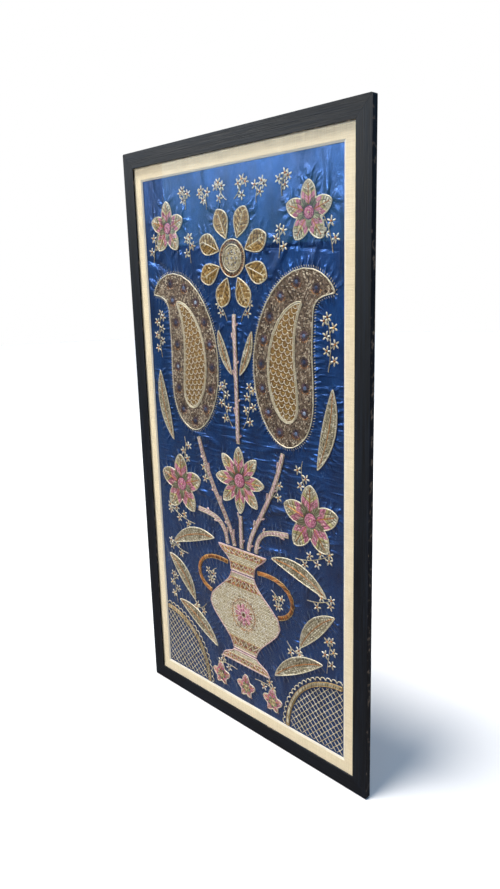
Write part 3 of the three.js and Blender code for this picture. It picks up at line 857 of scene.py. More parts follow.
def studs(name, shape, seat, places, across, thread, slot=None, tall=None, lift=0.0):
    """Beads or sequins, each lying flat at its place."""
    places = np.asarray(places, float)
    across = np.broadcast_to(across, len(places))
    tall = across if tall is None else np.broadcast_to(tall, len(places))
    depth = np.maximum(heights(seat, places) - tall * 0.35 - lift, PANE_CLEARANCE + tall / 2)
    middles = np.column_stack([places[:, 0], depth, places[:, 1]])
    axes = np.zeros((len(places), 3, 3))
    axes[:, 0, 0] = axes[:, 1, 2] = across
    axes[:, 2, 1] = -tall
    joined(name, shape, middles, axes, None, thread, slot)


def cord(name, routes, seat, radius, thread, slot=None, bead=0.16, step=2.2, lift=0.0, is_closed=True):
    """Couched cords on their routes: round wire, swelling and narrowing where it is wound."""
    curve = bpy.data.curves.new(name, "CURVE")
    curve.dimensions = "3D"
    curve.bevel_depth = radius * MM
    curve.bevel_resolution = 1
    curve.use_fill_caps = not is_closed
    for route in routes:
        if is_closed:
            points = even_ring(route, step)
        else:
            points = point_along(route, np.linspace(0, 1, max(3, round(path_length(route) / step))))
        depth = np.minimum(heights(seat, points), SATIN_FRONT) - radius * 0.7 - lift
        depth = np.maximum(depth, PANE_CLEARANCE + radius * 1.2)
        line = curve.splines.new("POLY")
        line.points.add(len(points) - 1)
        flat = np.column_stack([points[:, 0], depth, points[:, 1], np.full(len(points), 1 / MM)]) * MM
        line.points.foreach_set("co", flat.ravel())
        line.points.foreach_set("radius", 1 + bead * np.where(np.arange(len(points)) % 2, 1, -1))
        line.use_cyclic_u = is_closed
    draft = new_object(name + "_draft", curve)
    mesh = bpy.data.meshes.new_from_object(draft.evaluated_get(bpy.context.evaluated_depsgraph_get()))
    bpy.data.objects.remove(draft)
    places = np.empty(len(mesh.vertices) * 3)
    mesh.vertices.foreach_get("co", places)
    lay = np.zeros((len(mesh.vertices), 3))
    lay[:, 0] = places.reshape(-1, 3)[:, [0, 2]].sum(axis=1) / MM
    lay[:, 2] = np.repeat(0.45 + 0.55 * rng.random(len(lay) // 6 + 1), 6)[: len(lay)]
    sewn(name, mesh, lay, thread, slot)


def ahead_on(ring):
    """The way on at each point of a ring, one long."""
    return unit(np.roll(ring, -1, axis=0) - np.roll(ring, 1, axis=0))


def inset(ring, by):
    """A ring drawn inwards."""
    ahead = ahead_on(ring)
    return ring + np.column_stack([-ahead[:, 1], ahead[:, 0]]) * by


def edging(node, rings, seat, by, radius, thread, slot=None, step=3):
    """A cord round a pad, a little inside its edge, and round the hole in it if it has one."""
    routes = [inset(even_ring(ring, step), by * sense) for ring, sense in zip(rings, (1, -1))]
    cord(f"{node}_edge", routes, seat, radius, thread, slot)


def inside(ring, places):
    """Which places lie within a ring."""
    x, z = places[:, 0], places[:, 1]
    within = np.zeros(len(places), bool)
    for (x1, z1), (x2, z2) in zip(ring, np.roll(ring, -1, axis=0)):
        crosses = (z1 > z) != (z2 > z)
        level = (z - z1) * (x2 - x1) / (z2 - z1 if z2 != z1 else 1) + x1
        within ^= crosses & (x < level)
    return within


def both_inside(ring, starts, ends):
    """Which bars lie wholly within a ring."""
    return inside(ring, starts) & inside(ring, ends)


def two_sides(ring, start, end, count=96):
    """The two sides of a ring between the corners nearest start and end, as even points."""
    first, last = (int(np.argmin(np.linalg.norm(ring - corner, axis=1))) for corner in (start, end))
    ring = np.roll(ring, -first, axis=0)
    last = (last - first) % len(ring)
    shares = np.linspace(0, 1, count)
    return point_along(ring[: last + 1], shares), point_along(closed(ring)[last:][::-1], shares)


def far_ends(ring):
    """The two corners of a ring that are furthest apart, the lower one first."""
    away = np.linalg.norm(ring[:, None] - ring[None], axis=2)
    one, other = np.unravel_index(int(np.argmax(away)), away.shape)
    return sorted((ring[one], ring[other]), key=lambda point: point[1])


def ways_at(turns):
    """Steps one long at turns from level."""
    return np.stack([np.cos(turns), np.sin(turns)], axis=-1)


def even_turns(count, start=0.0):
    """Turns set evenly all the way round."""
    return start + np.arange(count) * math.tau / count


def spoked(centres, turns, inner, outer):
    """The starts and ends of bars that stand like spokes at these turns round each centre."""
    centres = np.atleast_2d(centres)[:, None]
    return [(centres + ways_at(turns) * reach).reshape(-1, 2) for reach in (inner, outer)]


bronze_thread = thread_material("bronze_thread", BRONZE, 0.35)
gold_thread = thread_material("gold_thread", GOLD, 0.45)
cream_thread = thread_material("cream_thread", CREAM, 0.25)
copper_thread = thread_material("copper_thread", COPPER, 0.45)
plum_silk = thread_material("plum_silk", PLUM, 0.1)
sky_foil = thread_material("sky_foil", SKY, 0.3)
bronze_padding = padding_material("bronze_padding", BRONZE, 0.4)
gold_padding = padding_material("gold_padding", GOLD, 0.5)
satin_seat = seat_of(satin)

for field, drop, sign in zip(PADS["paisley"], PADS["drop"], (-1, 1)):
    outer, hole = rings_of[field]
    base = outer[np.argmin(outer[:, 1])]
    tip = outer[np.argmax(outer[:, 0] * sign)]
    seat = seat_of(pad(field, bronze_padding))

    # Eyes follow a line a little inside the field's edge, all round the drop.
    eye_line = even_ring(inset(outer, EYE_INSET), EYE_PITCH)
    eyes = eye_line[inside(inset(outer, 12.0), eye_line) & ~inside(inset(hole, -14.0), eye_line)]
    crowded = np.linalg.norm(eyes[:, None] - eyes[None], axis=2) < EYE_PITCH * 0.72
    eyes = eyes[~np.any(np.tril(crowded, -1), axis=1)]
    sides = two_sides(outer, base, tip)
    rows = round(max(map(path_length, sides)) / FIELD_ROW)
    starts, ends = [], []
    for row in range(rows):
        one, other = (point_along(side, (row + 0.5) / rows) for side in sides)
        width = np.linalg.norm(other - one)
        if width < 4:
            continue
        across = (other - one) / width
        up = np.array([-across[1], across[0]])
        lean = FIELD_LEAN * (1 if row % 2 else -1)
        way = (across * math.sin(lean) + up * math.cos(lean)) * FIELD_BAR / 2
        count = int(width / FIELD_PITCH)
        at = (np.arange(count) + 0.5 + rng.uniform(-0.2, 0.2, count)) * width / count
        starts.append(one + across * at[:, None] - way)
        ends.append(one + across * at[:, None] + way)
    starts, ends = np.vstack(starts), np.vstack(ends)
    gap = np.min(np.linalg.norm(((starts + ends) / 2)[:, None] - eyes[None], axis=2), axis=1)
    keep = both_inside(inset(outer, 2.4), starts, ends) & (gap > EYE_ROOM)
    keep &= ~inside(inset(hole, -2.4), starts) & ~inside(inset(hole, -2.4), ends)
    # A share of the bars take the brightest tone, as painted glints; the rest take the thread's real tones at
    # random.
    tints = np.where(rng.random(len(starts)) < GLINT_FLECK_SHARE, 0.97, rng.random(len(starts)) * 0.72)
    bars(f"{field}_fill", seat, starts[keep], ends[keep], 2.4, bronze_thread, tints=tints[keep])

    # An eye is a ring of plum bars, a half ring of copper bars below it, and a cupped sequin.
    bars(f"{field}_eyes", seat, *spoked(eyes, even_turns(14), 3.4, 12.0), 3.8, plum_silk, "bronze_thread",
         rise=1.7)
    lashes = spoked(eyes, np.radians(np.arange(200, 350, 20)), 11.4, 16.6)
    bars(f"{field}_lashes", seat, *lashes, 2.8, copper_thread, rise=1.9)
    studs(f"{field}_hearts", SEQUIN, seat, eyes, 9.6, sky_foil, "silver_thread", tall=1.4, lift=0.5)
    edging(field, (outer, hole), seat, 1.5, EDGE_CORD, cream_thread, step=4)

    # Short barbs of wire stand out from the field's edge over the satin, leaning along it.
    roots = even_ring(outer, 6.4)
    ahead = ahead_on(roots)
    outward = np.column_stack([ahead[:, 1], -ahead[:, 0]])
    bars(f"{field}_barbs", satin_seat, roots + outward * 0.8, roots + outward * 6.4 + ahead * 2.2, 1.5,
         cream_thread, "bronze_thread", tints=0.45 + 0.55 * rng.random(len(roots)))

    # The drop is covered in rows of scales, each an arc of bright wire over fanned gold bars.
    drop_ring = rings_of[drop][0]
    seat = seat_of(pad(drop, gold_padding))
    one_side, other_side = two_sides(drop_ring, *far_ends(drop_ring))
    scale_rows = round(path_length((one_side + other_side) / 2) / SCALE_ROW)
    fans, arcs = ([], []), ([], [])
    for row in range(scale_rows):
        one, other = (point_along(side, (row + 0.35) / scale_rows) for side in (one_side, other_side))
        width = np.linalg.norm(other - one)
        across = (other - one) / max(width, 1e-6)
        up = np.array([-across[1], across[0]]) * (1 if across[0] > 0 else -1)
        count = max(1, round(width / SCALE_WIDTH))
        for number in range(count + row % 2):
            at = (number + (0.0 if row % 2 else 0.5)) / count
            root = one + (other - one) * at
            turns = np.radians([-52, -26, 0, 26, 52])
            ways = np.outer(np.sin(turns), across) - np.outer(np.cos(turns), up)
            fans[0].append(root + ways * 1.5)
            fans[1].append(root + ways * 10.0)
            turns = np.radians(np.linspace(-84, 84, 8))
            bow = root - np.outer(np.cos(turns), up) * 12.0 + np.outer(np.sin(turns), across) * 8.6
            arcs[0].append(bow[:-1])
            arcs[1].append(bow[1:])
    for title, ends_of, width, rise, thread, pale, uneven in (
        ("fans", fans, 2.7, 1.2, gold_thread, 0.18, 0.45),
        ("arcs", arcs, 2.4, 1.9, cream_thread, 0.8, 0.2),
    ):
        starts, ends = map(np.vstack, ends_of)
        keep = both_inside(inset(drop_ring, 1.8), starts, ends)
        tints = pale + rng.random(keep.sum()) * uneven
        bars(f"{drop}_{title}", seat, starts[keep], ends[keep], width, thread, "gold_thread", tints, rise)
    edging(drop, [drop_ring], seat, 1.5, EDGE_CORD, cream_thread, "gold_thread", step=4)

# The rosette: eight pointed petals of gold thread laid from a midrib to both edges, round a bronze
# ring and a button of coiled cream purl, all sewn over felt.
RIM_SHARE = 0.985
BAND_PITCH = 11.6
BAR = 2.5
BAR_PITCH = 2.9
LONGEST = 13.0


def centre_of(node):
    """The middle of a node's box as x, z in millimetres."""
    low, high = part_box(node)
    return np.array([low.x + high.x, low.z + high.z]) / 2 / MM


def mean_radius(ring, centre):
    """How far a ring lies from a centre, on average."""
    return np.linalg.norm(ring - centre, axis=1).mean()


def cut_short(starts, ends, tints, longest=LONGEST):
    """Long bars cut into shorter ones, end to end."""
    pieces = np.maximum(1, np.ceil(np.linalg.norm(ends - starts, axis=1) / longest)).astype(int)
    made = []
    for start, end, tint, count in zip(starts, ends, tints, pieces):
        corners = [start + (end - start) * number / count for number in range(count + 1)]
        made.extend([*one, *other, tint] for one, other in zip(corners, corners[1:]))
    made = np.array(made)
    return made[:, 0:2], made[:, 2:4], made[:, 4]


def barbs(middle, side, lead, longest=LONGEST):
    """Bars from a midrib out to an edge, leaning towards its tip, and how far along each one starts."""
    count = max(2, round(path_length(middle) / BAR_PITCH))
    shares = (np.arange(count) + 0.5) / count
    ends = point_along(side, np.minimum(shares * (1 - lead) + lead, RIM_SHARE))
    return cut_short(point_along(middle, shares), ends, shares, longest)


def freckled(shares, low, high, bands=0.0, spread=0.2):
    """Tints that run from low to high with the shares, uneven from bar to bar, in paler and darker bands."""
    banded = 0.2 * np.sign(np.sin(math.tau * bands * shares)) if bands else 0.0
    return np.clip(low + (high - low) * shares + banded + rng.normal(0, spread, len(shares)), 0, 1)


def herringbone(name, seat, ring, ends, thread, lead, low, high, bands, spread, longest):
    """A pointed shape filled with bars that lean both ways from its midrib, which is given back."""
    sides = two_sides(inset(ring, 1.5), *ends)
    middle = (sides[0] + sides[1]) / 2
    halves = [barbs(middle, side, lead, longest) for side in sides]
    starts, ends, shares = (np.concatenate(part) for part in zip(*halves))
    tints = freckled(shares, low, high, bands * path_length(middle) / BAND_PITCH, spread)
    bars(name, seat, starts, ends, BAR, thread, tints=tints)
    return middle


def coiled(name, seat, centre, radii, length, width, thread, slot=None):
    """Rings of bars laid nose to tail round a centre."""
    starts, ends = [], []
    for radius in radii:
        count = max(3, round(math.tau * radius / length))
        turns = (np.arange(count) + rng.random()) * math.tau / count
        starts.append(centre + radius * ways_at(turns - math.pi / count))
        ends.append(centre + radius * ways_at(turns + math.pi / count))
    bars(name, seat, np.vstack(starts), np.vstack(ends), width, thread, slot)


cream_padding = padding_material("cream_padding", CREAM, 0.3)
middle = centre_of("rosette_button")
for node in PADS["petal"]:
    ring = rings_of[node][0]
    seat = seat_of(pad(node, gold_padding))
    away = np.linalg.norm(ring - middle, axis=1)
    ends_of_petal = ring[np.argmin(away)], ring[np.argmax(away)]
    rib = herringbone(f"{node}_fill", seat, ring, ends_of_petal, gold_thread, lead=0.22, low=0.45, high=0.75,
                      bands=1.0, spread=0.2, longest=LONGEST)
    cord(f"{node}_rib", [point_along(rib, np.linspace(0.12, 0.86, 12))], seat, 1.2, cream_thread,
         is_closed=False)
    edging(node, [ring], seat, 1.5, EDGE_CORD, cream_thread)

seat = seat_of(pad("rosette_ring", bronze_padding))
radius_out, radius_in = (mean_radius(ring, middle) for ring in rings_of["rosette_ring"])
radius_mid = (radius_in + radius_out) / 2 + 0.4
inner_bars = spoked(middle, even_turns(60), radius_in + 1.8, radius_mid)
bars("rosette_ring_inner", seat, *inner_bars, BAR, bronze_thread)
outer_bars = spoked(middle, even_turns(72), radius_mid, radius_out - 1.8)
bars("rosette_ring_outer", seat, *outer_bars, 2.6, copper_thread)
edging("rosette_ring", rings_of["rosette_ring"], seat, 1.1, 1.4, cream_thread)

seat = seat_of(pad("rosette_button", cream_padding))
radii = np.arange(mean_radius(rings_of["rosette_button"][0], middle) - 1.6, 5, -2.3)
coiled("rosette_button_coils", seat, middle, radii, 5.0, 2.3, cream_thread)
dots = np.vstack([middle, spoked(middle, even_turns(8), 10, 15)[1]])
studs("rosette_button_sequins", SEQUIN, seat, dots, 5.5, sky_foil, "silver_thread", tall=1.0, lift=0.4)

# The open flowers: one felt pad each, its petals laid in khaki silver wire outside, lemon and rose
# silk near the heart, green between them, with beaded stamens and a coiled rose button.
SILK_SHARE = 0.33
LEMON_SHARE = 0.46
HEART_SHARE = 0.24
PETAL_LONGEST = 15.0
CALYX = np.array([-0.56, -0.3, 0.0, 0.3, 0.56])
FANNED_REACH = [0.82, 0.95, 1.0, 0.95, 0.82]
SILVER = (rgb(84, 72, 52), rgb(162, 148, 118), rgb(202, 188, 156), rgb(252, 246, 226))
ROSE = (rgb(148, 60, 92), rgb(216, 120, 154), rgb(240, 166, 190), rgb(254, 222, 228))
LEMON = (rgb(130, 120, 60), rgb(196, 186, 108), rgb(222, 214, 142), rgb(250, 246, 200))
LEAF_GREEN = (rgb(58, 72, 44), rgb(104, 124, 82), rgb(146, 162, 116), rgb(206, 214, 170))


def petal_sides(ring, centre, turn, half):
    """The two edges of one petal of a ring, each from the notch beside it to its tip."""
    fine_ring = even_ring(ring, 1.2)
    off = fine_ring - centre
    swung = (np.arctan2(off[:, 1], off[:, 0]) - turn + math.pi) % math.tau - math.pi
    sides = []
    for sense in (-1, 1):
        chosen = (swung * sense >= 0) & (swung * sense <= half)
        sides.append(fine_ring[chosen][np.argsort(-np.abs(swung[chosen]))])
    return sides


def fanned(centre, turns, swing, inner, outer):
    """The starts and ends of bars in a fan at each turn, shorter towards the fan's sides."""
    reach = outer * np.tile(FANNED_REACH, len(turns))[:, None]
    return spoked(centre, (turns[:, None] + swing).ravel(), inner, reach)


def bloom(node, petals, button, thread, padding):
    """One embroidered flower on its pad, with a button in the middle if it has one."""
    ring = rings_of[node][0]
    centre = centre_of(button) if button else ring.mean(axis=0)
    seat = seat_of(pad(node, padding))
    reach = np.linalg.norm(ring - centre, axis=1).max()
    start = reach * HEART_SHARE
    shrunk = centre + (ring - centre) * (1 - 2.0 / reach)
    petal_turns = even_turns(petals, math.pi / 2)
    gathered = []
    for turn in petal_turns:
        way = ways_at(turn)
        rib = np.array([centre + way * start, centre + way * (reach - 4)])
        for side in petal_sides(shrunk, centre, turn, math.pi / petals):
            gathered.append(barbs(rib, side, 0.12, PETAL_LONGEST))
    starts, ends, shares = (np.concatenate(part) for part in zip(*gathered))
    inner = shares < SILK_SHARE
    outer = shares > LEMON_SHARE
    between = ~inner & ~outer
    bars(f"{node}_wire", seat, starts[outer], ends[outer], BAR, thread,
         tints=freckled(shares[outer], 0.5, 0.8, reach / BAND_PITCH))
    bars(f"{node}_silk", seat, starts[inner], ends[inner], BAR, rose_silk,
         tints=freckled(shares[inner], 0.35, 0.75))
    bars(f"{node}_lemon", seat, starts[between], ends[between], BAR, lemon_silk, "rose_silk")
    edge = centre + (even_ring(ring, 2.5) - centre) * (1 - 1.5 / reach)
    cord(f"{node}_edge", [edge], seat, EDGE_CORD, cream_thread, slot_of(thread))
    notch = np.linalg.norm(ring - centre, axis=1).min() * 0.93
    green_bars = fanned(centre, petal_turns + math.pi / petals, math.pi / petals * CALYX, start * 0.96, notch)
    bars(f"{node}_calyx", seat, *green_bars, 2.6, green_silk, "silver_thread", rise=1.7)
    ribs = np.stack(spoked(centre, petal_turns, start, reach * 0.86), axis=1)
    cord(f"{node}_ribs", ribs, seat, 1.1, copper_thread, is_closed=False)
    if not button:
        return
    stamen_turns = even_turns(petals * 2, math.pi / 2 + 0.5 * math.pi / petals)
    stamens = spoked(centre, stamen_turns, start, reach * 0.46)
    bars(f"{node}_stamens", seat, *stamens, 1.6, silver_thread, rise=1.0, lift=0.8)
    studs(f"{node}_anthers", BEAD, seat, stamens[1], 3.6, cream_thread, lift=0.6)
    seat = seat_of(pad(button, rose_padding))
    radii = np.arange(mean_radius(rings_of[button][0], centre) - 1.3, 2, -2.0)
    coiled(f"{button}_coils", seat, centre, radii, 4.0, 2.1, rose_silk)
    studs(f"{button}_bead", BEAD, seat, [centre], 5.0, lemon_silk, "rose_silk", tall=2.4)


silver_thread = thread_material("silver_thread", SILVER, 0.35)
rose_silk = thread_material("rose_silk", ROSE, 0.0)
lemon_silk = thread_material("lemon_silk", LEMON, 0.0)
green_silk = thread_material("green_silk", LEAF_GREEN, 0.1)
silver_padding = padding_material("silver_padding", SILVER, 0.4)
rose_padding = padding_material("rose_padding", ROSE, 0.0)
for node in PADS["flower"]:
    bloom(node, 8 if node == "flower_centre" else 5, node + "_button", silver_thread, silver_padding)

# The stems: padded cords of dusty pink thread laid slantwise across, edged with silver wire and
# dotted with small knots like bark. Short twigs of the same thread are couched beside them.
TWIG_PITCH = 44.0
STEM_LEAN = 6.0
KNOT_SPREAD = 1.8
DUSTY_PINK = (rgb(130, 84, 92), rgb(206, 156, 162), rgb(232, 196, 194), rgb(255, 244, 232))


def laid_across(one, other, pitch, lean):
    """The starts and ends of bars from one side of a ribbon to the other, each leaning along it."""
    count = round(path_length(one) / pitch)
    shares = (np.arange(count) + 0.5) / count
    lead = lean / path_length(one) / 2
    return [point_along(side, np.clip(shares + sense * lead, 0.005, 0.995))
            for side, sense in ((one, -1), (other, 1))]


pink_thread = thread_material("pink_thread", DUSTY_PINK, 0.15)
pink_padding = padding_material("pink_padding", DUSTY_PINK, 0.2)
for node in PADS["stem"]:
    ring = rings_of[node][0]
    seat = seat_of(pad(node, pink_padding))
    one, other = two_sides(inset(ring, 1.2), *far_ends(ring))
    starts, ends = laid_across(one, other, BAR_PITCH, STEM_LEAN)
    count = len(starts)
    # Every fourth bar takes the brightest tone, a painted glint; the rest take the real pink tones at random.
    tints = np.where(np.arange(count) % 4 == 3, 0.98, 0.2 + 0.65 * rng.random(count))
    bars(f"{node}_fill", seat, starts, ends, 2.9, pink_thread, "pink_cord", tints)
    edging(node, [ring], seat, 1.3, 1.3, silver_thread)

    middle = (one + other) / 2
    length = path_length(middle)
    ahead = unit(np.gradient(middle, axis=0))
    outward = unit(other - one)
    twigs = []
    for number in range(max(1, round(length / TWIG_PITCH))):
        pick = round((number + 0.6) * TWIG_PITCH / length * len(middle))
        if pick < len(middle) - 6:
            sense = 1 if number % 2 else -1
            root = (other if sense > 0 else one)[pick] - outward[pick] * sense * 2
            way = outward[pick] * sense * 0.8 + ahead[pick] * 0.6
            twigs.append(np.array([root, root + way * 8, root + way * 12 + ahead[pick] * 5]))
    if twigs:
        cord(f"{node}_twigs", twigs, satin_seat, 2.0, pink_thread, "pink_cord", is_closed=False)
    knots = point_along(middle, (np.arange(count // 7) + 0.5) / (count // 7))
    knots += rng.normal(0, KNOT_SPREAD, knots.shape)
    studs(f"{node}_knots", BEAD, seat, knots, 4.4, cream_thread, lift=0.4)

# The leaves: khaki silver thread laid over felt in short freckled bars that lean both ways from a
# copper midrib, each leaf outlined in cream wire.
for node in PADS["leaf"]:
    ring = rings_of[node][0]
    seat = seat_of(pad(node, silver_padding))
    rib = herringbone(f"{node}_fill", seat, ring, far_ends(ring), silver_thread, lead=0.10,
                      low=0.64, high=0.64, bands=0.0, spread=0.3, longest=7.0)
    cord(f"{node}_rib", [point_along(rib, np.linspace(0.05, 0.95, 24))], seat, 1.2, copper_thread,
         is_closed=False)
    edging(node, [ring], seat, 1.4, 1.4, cream_thread, "silver_thread")

# The vase: seed stitch in cream purl on felt, with bands round its foot, body and neck, a medallion
# on its belly, a pink outline and two roped copper handles.
SEED_ROW = 4.6
SEED_PITCH = 3.4
SEED_LENGTH = 6.4
SEED_LEAN = math.radians(52)
BAND_BAR_PITCH = 3.0
ZIGZAG_PITCH = 9.0
ZIGZAG_INSET = np.array([0, 2.6])
VASE_INSET = 1.5
BANDS = {
    "vase_body": [(0.05, 0.15), (0.83, 0.93)],
    "vase_neck": [(0.10, 0.36), (0.70, 0.94)],
    "vase_foot": [(0.14, 0.52)],
}
MEDALLION = 33.0
MEDALLION_DROP = 2.0
MEDALLION_SWING = np.radians([-14, -7, 0, 7, 14])
ROPE_PITCH = 2.6
ROPE_LEAN = 9.0


def level_row(ring, level, pitch=None, count=None):
    """Even places across a ring at a height, about a pitch apart or so many."""
    ahead = np.roll(ring, -1, axis=0)
    crossing = (ring[:, 1] > level) != (ahead[:, 1] > level)
    one, other = ring[crossing], ahead[crossing]
    x = one[:, 0] + (level - one[:, 1]) * (other[:, 0] - one[:, 0]) / (other[:, 1] - one[:, 1])
    count = count or round((x.max() - x.min()) / pitch)
    return np.column_stack([np.linspace(x.min() + 1.5, x.max() - 1.5, count), np.full(count, level)])


for node in PADS["vase"]:
    ring = rings_of[node][0]
    seat = seat_of(pad(node, cream_padding))
    low, high = ring[:, 1].min() + VASE_INSET, ring[:, 1].max() - VASE_INSET
    inner_ring = inset(ring, 1.6)
    starts, ends = [], []
    rows = round((high - low) / SEED_ROW)
    for row in range(rows):
        seeds = level_row(inner_ring, low + (high - low) * (row + 0.5) / rows, SEED_PITCH)
        lean = SEED_LEAN if row % 2 else -SEED_LEAN
        way = np.array([math.sin(lean), math.cos(lean)]) * SEED_LENGTH / 2
        starts.append(seeds - way)
        ends.append(seeds + way)
    starts, ends = np.vstack(starts), np.vstack(ends)
    keep = both_inside(inner_ring, starts, ends)
    shares = ((starts + ends)[:, 1] / 2 - low) / (high - low)
    for low_share, high_share in BANDS[node]:
        keep &= (shares < low_share) | (shares > high_share)
    bars(f"{node}_seeds", seat, starts[keep], ends[keep], BAR, cream_thread,
         tints=np.clip(rng.normal(0.72, 0.24, keep.sum()), 0, 1), rise=1.2)

    # Each band is laid with upright copper bars between two gold wires, a cream zigzag over them.
    feet, heads, lines, zigzags, turning = [], [], [], [], []
    for band in BANDS[node]:
        low_level, high_level = (low + (high - low) * share for share in band)
        foot = level_row(inner_ring, low_level, BAND_BAR_PITCH)
        head = level_row(inner_ring, high_level, count=len(foot))
        feet.append(foot)
        heads.append(head)
        lines.extend((foot, head))
        count = max(3, round((foot[-1, 0] - foot[0, 0] + 3.0) / ZIGZAG_PITCH))
        shares = (np.arange(count) + 0.5) / count
        low_row = point_along(foot, shares) + ZIGZAG_INSET
        high_row = point_along(head, shares) - ZIGZAG_INSET
        odd = (np.arange(count) % 2)[:, None]
        zigzags.append(np.where(odd, high_row, low_row))
        turning.append(np.where(odd, low_row, high_row))
    feet, heads = np.vstack(feet), np.vstack(heads)
    starts, ends, tints = cut_short(feet, heads, rng.random(len(feet)))
    bars(f"{node}_bands", seat, starts, ends, 2.9, copper_thread, tints=tints, rise=1.2)
    cord(f"{node}_lines", lines, seat, 1.4, gold_thread, lift=0.5, is_closed=False)
    cord(f"{node}_zigzags", zigzags, seat, 1.3, cream_thread, lift=0.9, is_closed=False)
    studs(f"{node}_sequins", SEQUIN, seat, np.vstack(turning), 4.4, rose_silk, tall=1.2, lift=1.0)
    edging(node, [ring], seat, 1.5, 1.6, pink_thread, "cream_thread")

# A medallion is laid on the belly: eight petals of rose bars, copper rays between them, and round
# them a double ring of copper and one of sequins.
belly = seat_of(bpy.data.objects["vase_body_pad"])
middle = centre_of("vase_body") * (0, 1) - (0, MEDALLION_DROP)
petals = fanned(middle, even_turns(8), MEDALLION_SWING, 9, MEDALLION)
starts, ends, tints = cut_short(*petals, rng.random(len(petals[0])))
bars("vase_medallion_petals", belly, starts, ends, 3.0, rose_silk, tints=tints, rise=1.6, lift=0.7)
rays = spoked(middle, even_turns(8, math.pi / 8), MEDALLION * 0.62, MEDALLION * 1.12)
bars("vase_medallion_rays", belly, *rays, 3.6, copper_thread, rise=1.6, lift=0.7)
radii = (MEDALLION * 1.24, MEDALLION * 1.34)
coiled("vase_medallion_ring", belly, middle, radii, 7.0, 2.6, copper_thread)
dots = np.vstack([middle, spoked(middle, even_turns(20), 1, MEDALLION * 1.52)[1]])
studs("vase_medallion_sequins", SEQUIN, belly, dots, [11.0] + [4.6] * 20, gold_thread, tall=1.3, lift=0.8)

copper_padding = padding_material("copper_padding", COPPER, 0.4)
for node, sign in zip(PADS["handle"], (-1, 1)):
    ring = rings_of[node][0]
    seat = seat_of(pad(node, copper_padding))
    top = ring[np.argmin(ring[:, 0] * sign)]
    low_end = ring[np.argmin(ring[:, 1] + ring[:, 0] * sign * 0.4)]
    rope = laid_across(*two_sides(inset(ring, 1.0), top, low_end), ROPE_PITCH, ROPE_LEAN)
    bars(f"{node}_rope", seat, *rope, 2.9, copper_thread)
    edging(node, [ring], seat, 0.9, 0.8, gold_thread, "copper_thread")

# The lotus row: three small flowers in rose silk and lemon over felt, each outlined in cream wire,
# with a coiled lemon heart and cream seeds in place of a button.
for node in PADS["lotus"]:
    bloom(node, 5, None, rose_silk, rose_padding)
    seat = seat_of(bpy.data.objects[node + "_pad"])
    middle = rings_of[node][0].mean(axis=0)
    coiled(f"{node}_heart", seat, middle, (8.5, 6.0, 3.4), 4.0, 2.4, lemon_silk, "rose_silk")
    dots = np.vstack([middle, spoked(middle, even_turns(5, math.pi / 2), 3, 12)[1]])
    studs(f"{node}_seeds", BEAD, seat, dots, 3.4, cream_thread, lift=0.4)

# The corner fans: a padded cream rim, a net of fine wire inside it with a sequin at each crossing,
# and scallops of wire outside it, couched straight on the satin.
NET_PITCH = 13.0
NET_MOST = 30
SCALLOP = 17.0
RIM_BARS = 122
for node, sign in zip(PADS["fan"], (-1, 1)):
    ring = rings_of[node][0]
    seat = seat_of(pad(node, cream_padding))
    inward = np.array([-sign, 1])
    corner = np.array([sign * np.abs(ring[:, 0]).max(), ring[:, 1].min()])
    away = np.linalg.norm(ring - corner, axis=1)
    rim_in, rim_out = away.min(), away.max()
    ways = ways_at(np.radians(np.linspace(1.5, 88.5, RIM_BARS))) * inward
    bars(f"{node}_fill", seat, corner + ways[:-2] * (rim_in + 1.5), corner + ways[2:] * (rim_out - 1.5), 1.9,
         cream_thread)
    edging(node, [ring], seat, 1.0, 0.95, gold_thread, "cream_thread")

    reach = rim_in - 3
    grid = np.linspace(0, reach, 160)
    lines = []
    for slope in (-1, 1):
        for step in range(-24, 25):
            points = np.column_stack([grid, slope * grid + step * NET_PITCH * math.sqrt(2)])
            points = points[(points[:, 1] > 1) & (np.linalg.norm(points, axis=1) < reach)]
            if len(points) > 6:
                lines.append(corner + points * inward)
    cord(f"{node}_net", lines, satin_seat, 0.7, cream_thread, "silver_thread", bead=0.1, step=6.0,
         is_closed=False)
    one, other = np.mgrid[-2:NET_MOST, -NET_MOST:NET_MOST].reshape(2, -1)
    places = np.column_stack([one - other, one + other]) * NET_PITCH / math.sqrt(2)
    places = places[np.all(places > 2, axis=1) & (np.linalg.norm(places, axis=1) < reach - 2)]
    studs(f"{node}_sequins", SEQUIN, satin_seat, corner + places * inward, 5.6, cream_thread, "silver_thread",
          tall=1.2, lift=0.4)

    count = round(math.pi / 2 * (rim_out + 4) / SCALLOP)
    half_round = np.linspace(-math.pi / 2, math.pi / 2, 9)
    scallops = []
    for turn in (np.arange(count) + 0.5) * math.pi / 2 / count:
        along = (rim_out + 3) * ways_at(turn) + SCALLOP * 0.46 * ways_at(half_round + turn)
        scallops.append(corner + along * inward)
    cord(f"{node}_scallops", scallops, satin_seat, 1.0, cream_thread, step=2.6, is_closed=False)

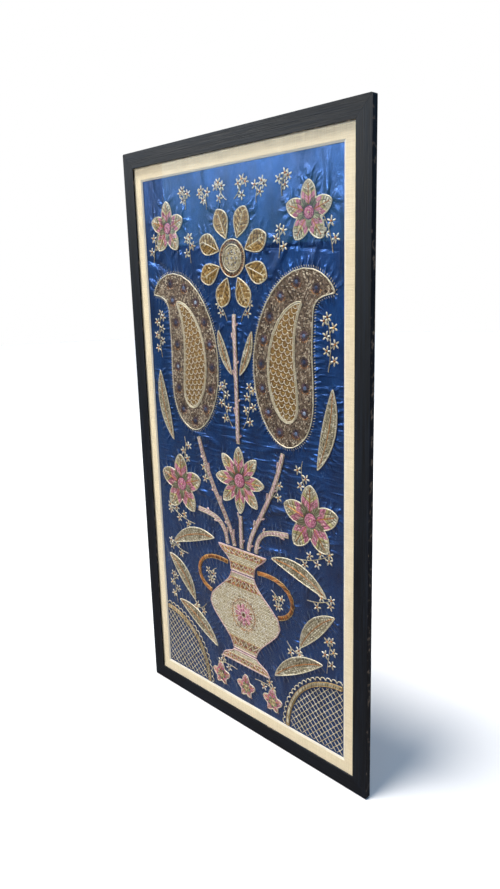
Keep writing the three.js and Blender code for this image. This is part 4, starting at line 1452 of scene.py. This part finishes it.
# The sprigs: fine couched silver stalks with small star flowers of cream purl round a copper bead,
# sewn straight on the satin between the larger motifs, alike on both sides.
WORK_MIDDLE = -737.0
STAR_REACH = 12.0
STAR_STALK = 15.0
STAR_SWING = 48

# Each sprig starts at x, z, sets off at an angle, has a length, bends by an angle, and bears stars.
SPRIGS = [
    (10, 606, 30, 50, 50, 4),
    (84, 590, 100, 50, -60, 4),
    (162, 596, 105, 48, -50, 4),
    (148, 468, 78, 62, 20, 4),
    (300, 470, 95, 100, 30, 6),
    (284, 225, 75, 116, 30, 7),
    (14, 70, 50, 110, 50, 6),
    (24, 330, 75, 50, -40, 3),
    (212, 30, 250, 80, 60, 5),
    (100, -90, 30, 54, 40, 3),
    (176, -216, 0, 112, 34, 6),
    (214, -312, 0, 78, 30, 4),
    (150, -440, 300, 50, 60, 3),
    (98, -322, -16, 50, -70, 4),
    (278, -486, 84, 88, -6, 5),
    (30, -598, 10, 66, -20, 3),
]
stalks, stars = [], []
shares = np.linspace(0, 1, 16)
for sign in (-1, 1):
    for x, z, way, length, bend, count in SPRIGS:
        moves = ways_at(np.radians(way + bend * shares)) * length / (len(shares) - 1)
        line = (np.array([x, z]) + np.cumsum(moves, axis=0)) * (sign, 1) + (0, WORK_MIDDLE)
        stalks.append(line)
        for number in range(count):
            share = (number + 1) / count
            root = star = point_along(line, share)
            if number < count - 1:
                swing = STAR_SWING if number % 2 else -STAR_SWING
                star = root + STAR_STALK * ways_at(math.radians(way + bend * share + swing)) * (sign, 1)
                stalks.append(np.array([root, (root + star) / 2, star]))
            stars.append(star)
cord("sprig_stalks", stalks, satin_seat, 0.9, silver_thread, bead=0.12, step=3.5, is_closed=False)
turns = rng.random(len(stars))[:, None] * math.tau + even_turns(5)
star_bars = spoked(stars, turns, 2.0, STAR_REACH)
bars("sprig_stars", satin_seat, *star_bars, 5.0, cream_thread, "silver_thread",
     tints=0.5 + 0.5 * rng.random(len(star_bars[0])), rise=2.1)
studs("sprig_hearts", BEAD, satin_seat, stars, 5.4, copper_thread, lift=0.5)
